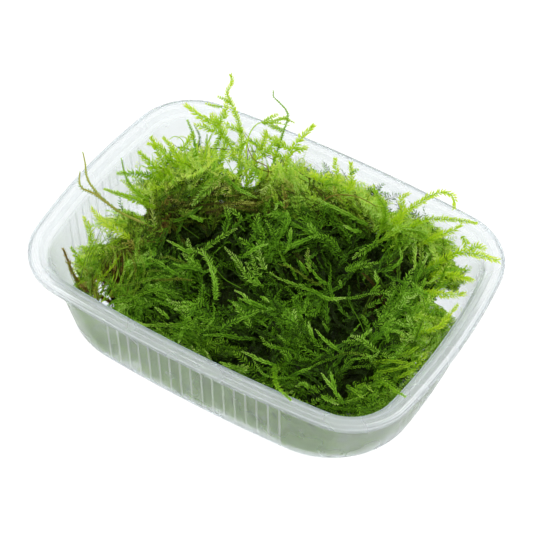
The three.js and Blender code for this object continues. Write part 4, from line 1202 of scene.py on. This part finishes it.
LEAFY = "leafy"
STEM = "stem"
SHOOTS = {
    "tallest": [LEAFY, [-22, 18, 32], [-28, 30, 38], [-31.2, 33.4, 43], [-34.6, 34.9, 48],
        [-37.2, 35.4, 52], [-37, 38, 55], [-37.8, 38.7, 57]],
    "left_feather": [LEAFY, [-30, 18, 33], [-33, 28, 40], [-38.5, 30.4, 43], [-42.9, 28.6, 44.5],
        [-48.3, 29.1, 46]],
    "back_arch": [STEM, [-34, 14, 33], [-35.8, 21.5, 41], [-35.8, 25.1, 44.6], [-34.6, 27.8, 47]],
    "yellow_runner": [STEM, [-20, 20, 33], [-26, 30, 40.5], [-25.6, 35, 45], [-20.9, 37, 46.6],
        [-15.4, 38.4, 47]],
    "whip": [STEM, [-14, 22, 33], [-17.5, 35.2, 38], [-17.6, 38.4, 43], [-17.6, 41, 48.6],
        [-21.1, 41.5, 51.5], [-23.3, 41.3, 53], [-23.8, 41.8, 55]],
    "back_bushy": [LEAFY, [-19, 18, 33], [-21.9, 31.4, 38], [-21.4, 33, 41.5], [-21.6, 33.6, 44.4]],
    "back_feather": [LEAFY, [-8, 24, 33], [-13.2, 34.4, 36.5], [-12.8, 37.7, 39.5], [-11.6, 41, 42.5],
        [-10, 43.6, 45]],
    "brown_back": [STEM, [-14, 20, 33], [-16, 27, 36.8], [-21, 26.4, 38.4], [-24.4, 27.6, 41.5]],
    "upright": [LEAFY, [-34, 12, 33], [-38.9, 19.4, 38], [-40.9, 21.1, 43.5], [-43.2, 21.8, 47.5]],
    "hooked": [STEM, [-36, 10, 33], [-41, 16.6, 38.6], [-43, 18.6, 41.6], [-45.6, 18.4, 42.8],
        [-47, 16.6, 42]],
    "fan_left": [LEAFY, [-36, 6, 33], [-45.4, 11, 36], [-48.8, 12, 40], [-50.8, 12.2, 44]],
    "fan_right": [LEAFY, [-34, 9, 33], [-40.2, 13.4, 37], [-44.2, 14.6, 40.5], [-47.4, 14.6, 43.5]],
    "fork_long": [STEM, [-38, -9, 30], [-45.2, -12.6, 34.5], [-49.5, -14.2, 38], [-53.3, -14.8, 41.5],
        [-57.7, -13.4, 44], [-60.7, -10.1, 46.5], [-62.6, -8.4, 48.4]],
    "fork_short": [STEM, [-49.5, -14.2, 38], [-53.9, -15.5, 41.4], [-57.2, -17, 43], [-59.2, -15.6, 44],
        [-60.4, -13.4, 45.2]],
    "fork_leafy": [LEAFY, [-37, -3, 32], [-44.8, -7.6, 37.2], [-48.6, -10, 39.4], [-52.1, -11.4, 40.6]],
    "thin_upright": [STEM, [-40, -2, 31], [-47.6, -3.6, 37], [-50.6, -3.4, 42], [-52.5, -2.1, 46]],
    "side_frond": [LEAFY, [-38, 4, 32], [-46, 4.4, 36], [-50, 1.4, 37.6], [-54, -1.2, 38]],
    "small_tip": [LEAFY, [-40, 5.6, 33], [-46.6, 7.2, 37.4], [-49.4, 6.8, 40], [-51, 6.4, 42]],
    "pale_frond": [LEAFY, [-38, -16, 29], [-46, -17.6, 32], [-50, -18, 34], [-53, -17.4, 36]],
    "left_leafy": [LEAFY, [-40, -27, 23], [-48.6, -25.4, 25], [-50.6, -22.6, 28], [-52, -21.4, 31],
        [-54, -20.8, 34.4]],
    "left_stub": [LEAFY, [-40, -31, 24], [-47, -30.6, 25], [-50.5, -30.1, 27], [-52.8, -29.8, 29.5]],
    "brown_wall": [LEAFY, [-34, -36, 22], [-44, -36.4, 23], [-49, -34.8, 24.5], [-52.4, -32.8, 27],
        [-54.8, -31.6, 29.6]],
    "back_tuft_left": [LEAFY, [4, 26, 33], [5.2, 33.8, 36.5], [3.8, 35.5, 39.5], [2.7, 36.6, 42.5]],
    "back_tuft_right": [LEAFY, [9, 26, 33], [10, 34, 36.5], [9.4, 35.5, 40], [8.3, 36.8, 43.8]],
    "brown_arch": [STEM, [4, 21, 33], [7.5, 25.6, 38.6], [14.2, 27.8, 40.8], [18.6, 28.8, 40.2],
        [21.6, 29.6, 38.6]],
    "green_blade": [LEAFY, [26, 26, 32], [24.6, 31, 37], [22.2, 31.6, 39.6], [19.4, 32.2, 42.4]],
    "curled": [LEAFY, [26, 28, 32], [31, 35.4, 38], [33.2, 37.6, 40], [35.3, 39.5, 42.5],
        [39.3, 41.4, 44.6], [42.4, 41.5, 44], [43.6, 40, 42]],
    "reaching": [LEAFY, [30, 26, 31], [36, 33.4, 36.8], [41.5, 36, 38.6], [46.5, 38.1, 39],
        [51, 40.4, 38.4]],
    "right_feather": [LEAFY, [44, 22, 29], [50.4, 28.6, 34.6], [54.4, 29.6, 36.4], [59.4, 29.7, 38],
        [64, 29.6, 39]],
    "right_tuft": [LEAFY, [44, 20, 29], [52.6, 22.8, 31.6], [56, 22.8, 32.8], [59.6, 22.4, 34.2]],
    "right_low": [LEAFY, [44, 13, 28], [52.4, 14.6, 30.6], [56.4, 15.4, 32], [60, 16.4, 33.6]],
    "right_wall": [LEAFY, [52, -2, 27], [58.8, 2.4, 31], [60, 6.4, 32.8], [60.8, 10.2, 34.4]],
    "right_corner": [LEAFY, [38, 28, 31], [43, 32, 35.6], [46.2, 33.4, 38], [48.4, 34.8, 40.4]],
    "over_near_rim": [LEAFY, [24, -34, 28], [28.6, -42, 31.8], [32.6, -45.2, 33.8], [36.6, -47, 34.6]],
    "over_near_corner": [LEAFY, [50, -22, 27], [57.2, -25.6, 32], [60.8, -27.4, 33.9], [64, -28.4, 34.7]],
    "front_right_tip": [LEAFY, [30.4, 27.6, 33], [29.4, 32.6, 38.6], [28.2, 33.4, 42.4],
        [29.6, 34.2, 44.4]],
}


SHOOT_FACE = np.array([0.45, -0.75, 0.5])
BROWN_SHOOTS = ("brown_back", "brown_wall", "brown_arch")

BROWN_AGE = 0.85
YOUNG_AGE = -0.9
FINE_LEAF_TONES = (0.6, 0.8)

# What most shoots of a kind look like, and then what single ones have instead: the length of the leaves and
# the radius of the stem in millimetres, tone and age as above, and the share of the shoot below its leaves
KIND_LOOKS = {
    LEAFY: {"leaf": 2.0, "radius": 0.2, "tone": 0.72, "bare": 0},
    STEM: {"radius": 0.3, "tone": 0.66, "fine_leaves": False},
}
OWN_LOOKS = {
    "tallest": {"leaf": 1.7},
    "left_feather": {"leaf": 2.3},
    "yellow_runner": {"tone": 0.75},
    "whip": {"radius": 0.34, "tone": 0.6, "age": -0.5, "fine_leaves": True},
    "back_bushy": {"leaf": 2.4},
    "back_feather": {"leaf": 2.4},
    "upright": {"leaf": 1.2, "tone": 0.64, "age": -0.25},
    "fan_left": {"tone": 0.66},
    "fan_right": {"tone": 0.66},
    "fork_long": {"radius": 0.48, "tone": 0.92, "age": 0.7, "fine_leaves": True},
    "fork_short": {"radius": 0.46, "tone": 0.95, "age": 0.75, "fine_leaves": True},
    "fork_leafy": {"leaf": 1.5, "tone": 0.62, "age": -0.6},
    "thin_upright": {"radius": 0.36, "tone": 0.62, "age": -0.4, "fine_leaves": True},
    "side_frond": {"tone": 0.55, "age": -0.4},
    "small_tip": {"leaf": 2.2, "tone": 0.62, "age": -0.7},
    "pale_frond": {"leaf": 2.2, "tone": 0.82},
    "left_leafy": {"bare": 0.62},
    "left_stub": {"leaf": 1.6, "tone": 0.55, "age": -0.6},
    "brown_wall": {"leaf": 1.3, "radius": 0.6, "tone": 0.66, "age": 1.0},
    "green_blade": {"tone": 0.6, "age": -0.4},
    "curled": {"tone": 0.76},
    "reaching": {"leaf": 1.6, "tone": 0.66},
    "right_feather": {"leaf": 2.4},
    "right_tuft": {"leaf": 2.3},
    "right_low": {"leaf": 2.3},
    "right_wall": {"leaf": 1.6},
    "over_near_rim": {"leaf": 1.3, "tone": 0.6, "age": -0.2},
    "over_near_corner": {"leaf": 1.0, "tone": 0.6, "age": -0.2},
}

# Side sprigs that can be seen on the standing shoots: the shoot, leaf length in millimetres, tone, age, and
# the route from foot to tip in the photograph's pixels
SIDE_SPRIGS = [
    ("left_feather", 2.0, 0.72, -0.9, (224, 134), (210, 129), (197, 125)),
    ("left_feather", 1.8, 0.76, -0.9, (219, 125), (213, 115)),
    ("left_feather", 1.8, 0.7, -0.8, (219, 125), (223, 113)),
    ("left_feather", 1.7, 0.72, -0.9, (220, 127), (207, 122)),
    ("left_feather", 1.6, 0.66, -0.7, (222, 134), (217, 143), (213, 152)),
    ("left_feather", 1.7, 0.7, -0.8, (225, 138), (232, 147), (234, 158)),
    ("tallest", 1.0, 0.72, -0.8, (231, 104), (226, 100), (219, 97)),
    ("tallest", 0.9, 0.72, -0.8, (222, 107), (215, 106), (207, 104)),
    ("tallest", 1.8, 0.72, -0.9, (243, 132), (233, 128), (226, 124)),
    ("tallest", 1.6, 0.7, -0.8, (246, 142), (238, 150), (230, 160)),
    ("yellow_runner", 1.3, 0.74, -0.8, (262, 123), (270, 118), (276, 115)),
    ("yellow_runner", 1.1, 0.72, -0.8, (264, 124), (271, 122), (279, 123)),
    ("yellow_runner", 0.9, 0.76, -0.8, (272, 121), (284, 119), (293, 122)),
    ("whip", 1.0, 0.7, -0.7, (290, 121), (285, 118), (278, 119)),
    ("whip", 1.5, 0.7, -0.8, (284, 132), (277, 128), (270, 126)),
    ("whip", 1.7, 0.7, -0.8, (282, 148), (274, 142), (267, 135)),
    ("back_feather", 2.0, 0.74, -0.9, (290, 150), (282, 144), (276, 138)),
    ("back_feather", 2.0, 0.72, -0.9, (284, 158), (276, 155), (268, 150)),
    ("back_feather", 2.0, 0.74, -0.9, (294, 148), (300, 150), (305, 148)),
    ("back_bushy", 1.9, 0.68, -0.8, (262, 150), (256, 143), (248, 140)),
    ("back_bushy", 1.9, 0.7, -0.8, (262, 156), (270, 148), (277, 141)),
    ("green_blade", 1.2, 0.6, -0.4, (350, 174), (357, 170)),
    ("back_tuft_left", 1.9, 0.78, -1.0, (319, 180), (312, 174)),
    ("back_tuft_left", 1.9, 0.78, -1.0, (321, 182), (328, 175)),
    ("fan_left", 1.8, 0.7, -0.9, (166, 152), (158, 146), (150, 144)),
    ("fan_right", 1.8, 0.7, -0.9, (180, 150), (188, 143), (192, 134)),
    ("left_feather", 1.7, 0.76, -1.0, (224, 119), (226, 112), (226, 104)),
    ("brown_back", 1.5, 0.42, 0.7, (208, 199), (219, 197), (231, 200)),
    ("brown_back", 1.4, 0.46, 0.4, (211, 192), (220, 198), (228, 204)),
    ("fan_right", 1.8, 0.64, -0.7, (178, 167), (170, 160), (163, 153)),
    ("fan_left", 1.7, 0.6, -0.6, (166, 166), (169, 158), (172, 150)),
    ("right_feather", 2.0, 0.7, -0.9, (470, 250), (476, 246), (483, 248)),
    ("right_tuft", 2.0, 0.74, -0.9, (462, 236), (466, 243), (466, 250)),
]


def beside_shoot(route, pixels):
    """The places seen at the pixels, as far off as the shoot is where the first of them is nearest to it"""
    places, _ = smooth_line(route, 0.5)
    nearest = places[np.hypot(*(pixels_of(places) - pixels[0]).T).argmin()]
    far = (nearest - CAMERA_PLACE) @ np.array(CAMERA_FORWARD)
    rays = [photo_ray(*pixel) for pixel in pixels]
    return [CAMERA_PLACE + ray * far / (ray @ np.array(CAMERA_FORWARD)) for ray in rays]


def add_sprig(tangle, route, age, length, tone, leafy_from=0.0, radius=0.2):
    """A standing sprig: six rows of leaves round its stem, from a share of its length up to its tip"""
    add_stem(tangle, route, radius, tone - 0.1, age, sides=5)
    places, _ = smooth_line(route, 0.8)
    leafy_part = places[int(leafy_from * (len(places) - 1)):]
    face = unit(SHOOT_FACE)
    across = unit(np.cross(face, np.array(route[-1]) - np.array(route[0])))
    tones = (tone - 0.1, min(1, tone + 0.15))
    for turn, share in SPRIG_ROWS:
        row = math.cos(math.radians(turn)) * face + math.sin(math.radians(turn)) * across
        add_leaves(tangle, leafy_part, row, tones, age, length * share, **SPRIG_LEAF,
                   size_along=SPRIG_SIZE_ALONG)


def shoot_tangle(name, kind, route, looks):
    """The stem and leaves of a standing shoot with its side sprigs"""
    tangle = Tangle()
    age, tone, radius = looks["age"], looks["tone"], looks["radius"]
    if kind == LEAFY:
        add_sprig(tangle, route, age, looks["leaf"], tone, looks["bare"], radius)
    else:
        add_stem(tangle, route, radius, tone, age, sides=5)
        if looks["fine_leaves"]:
            add_leaves(tangle, route, unit(SHOOT_FACE), FINE_LEAF_TONES, 0.3 * age, **STEM_LEAF)
    for parent, length, tone, own_age, *pixels in SIDE_SPRIGS:
        if parent == name:
            add_sprig(tangle, beside_shoot(route, pixels), own_age, length, tone)
    return tangle


def build_shoots():
    for name, (kind, *route) in SHOOTS.items():
        brown = name in BROWN_SHOOTS
        looks = {"age": BROWN_AGE if brown else YOUNG_AGE, **KIND_LOOKS[kind], **OWN_LOOKS.get(name, {})}
        piece = shoot_tangle(name, kind, route, looks).piece("leafy_" + name, leaf_young)
        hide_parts("shoot_" + name)
        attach(piece, "root")


build_shoots()


# Floor and light

FLOOR_COLOUR = (0.12, 0.12, 0.12)
FLOOR_REACH = 3000
SKY_COLOUR = (0.96, 0.98, 1)
SKY_STRENGTH = 0.76
OVERHEAD_GAIN = 0.24


def build_floor():
    """A floor that is lit evenly from within, so that it shows as plain white"""
    material, _, _, shader = new_material("floor")
    shader.inputs["Base Color"].default_value = (*FLOOR_COLOUR, 1)
    shader.inputs["Roughness"].default_value = 0.9
    shader.inputs["Specular IOR Level"].default_value = 0
    shader.inputs["Emission Color"].default_value = (1, 1, 1, 1)
    shader.inputs["Emission Strength"].default_value = 1.0
    corners = [(x * FLOOR_REACH, y * FLOOR_REACH, 0) for x, y in ((-1, -1), (1, -1), (1, 1), (-1, 1))]
    mesh_piece("floor", corners, [(0, 1, 2, 3)], material)


def area_light(name, place, target, size, power):
    data = bpy.data.lights.new(name, "AREA")
    data.shape = "DISK"
    data.size = size
    data.energy = power
    lamp = bpy.data.objects.new(name, data)
    lamp.location = place
    lamp.rotation_euler = (Vector(target) - Vector(place)).to_track_quat("-Z", "Y").to_euler()
    bpy.context.scene.collection.objects.link(lamp)


def build_world():
    """A pale sky, a little brighter overhead"""
    world = bpy.data.worlds.new("studio")
    world.use_nodes = True
    nodes, links = world.node_tree.nodes, world.node_tree.links
    sky = nodes["Background"]
    sky.inputs["Color"].default_value = (*SKY_COLOUR, 1)
    heading = nodes.new("ShaderNodeSeparateXYZ")
    links.new(nodes.new("ShaderNodeTexCoord").outputs["Generated"], heading.inputs[0])
    overhead = math_of(nodes, links, "MULTIPLY", heading.outputs["Z"], OVERHEAD_GAIN)
    links.new(math_of(nodes, links, "ADD", overhead, SKY_STRENGTH), sky.inputs["Strength"])
    bpy.context.scene.world = world


def allow_bounces():
    """Enough bounces for light to cross the walls of the tub and the moss"""
    cycles = bpy.context.scene.cycles
    cycles.max_bounces = 20
    cycles.diffuse_bounces = 6
    cycles.glossy_bounces = 12
    cycles.transmission_bounces = 20


build_floor()
area_light("key", place=(-0.2, -0.05, 1.3), target=(0, 0, 0.02), size=0.8, power=7)
build_world()
allow_bounces()
bpy.context.scene.view_settings.view_transform = "Standard"
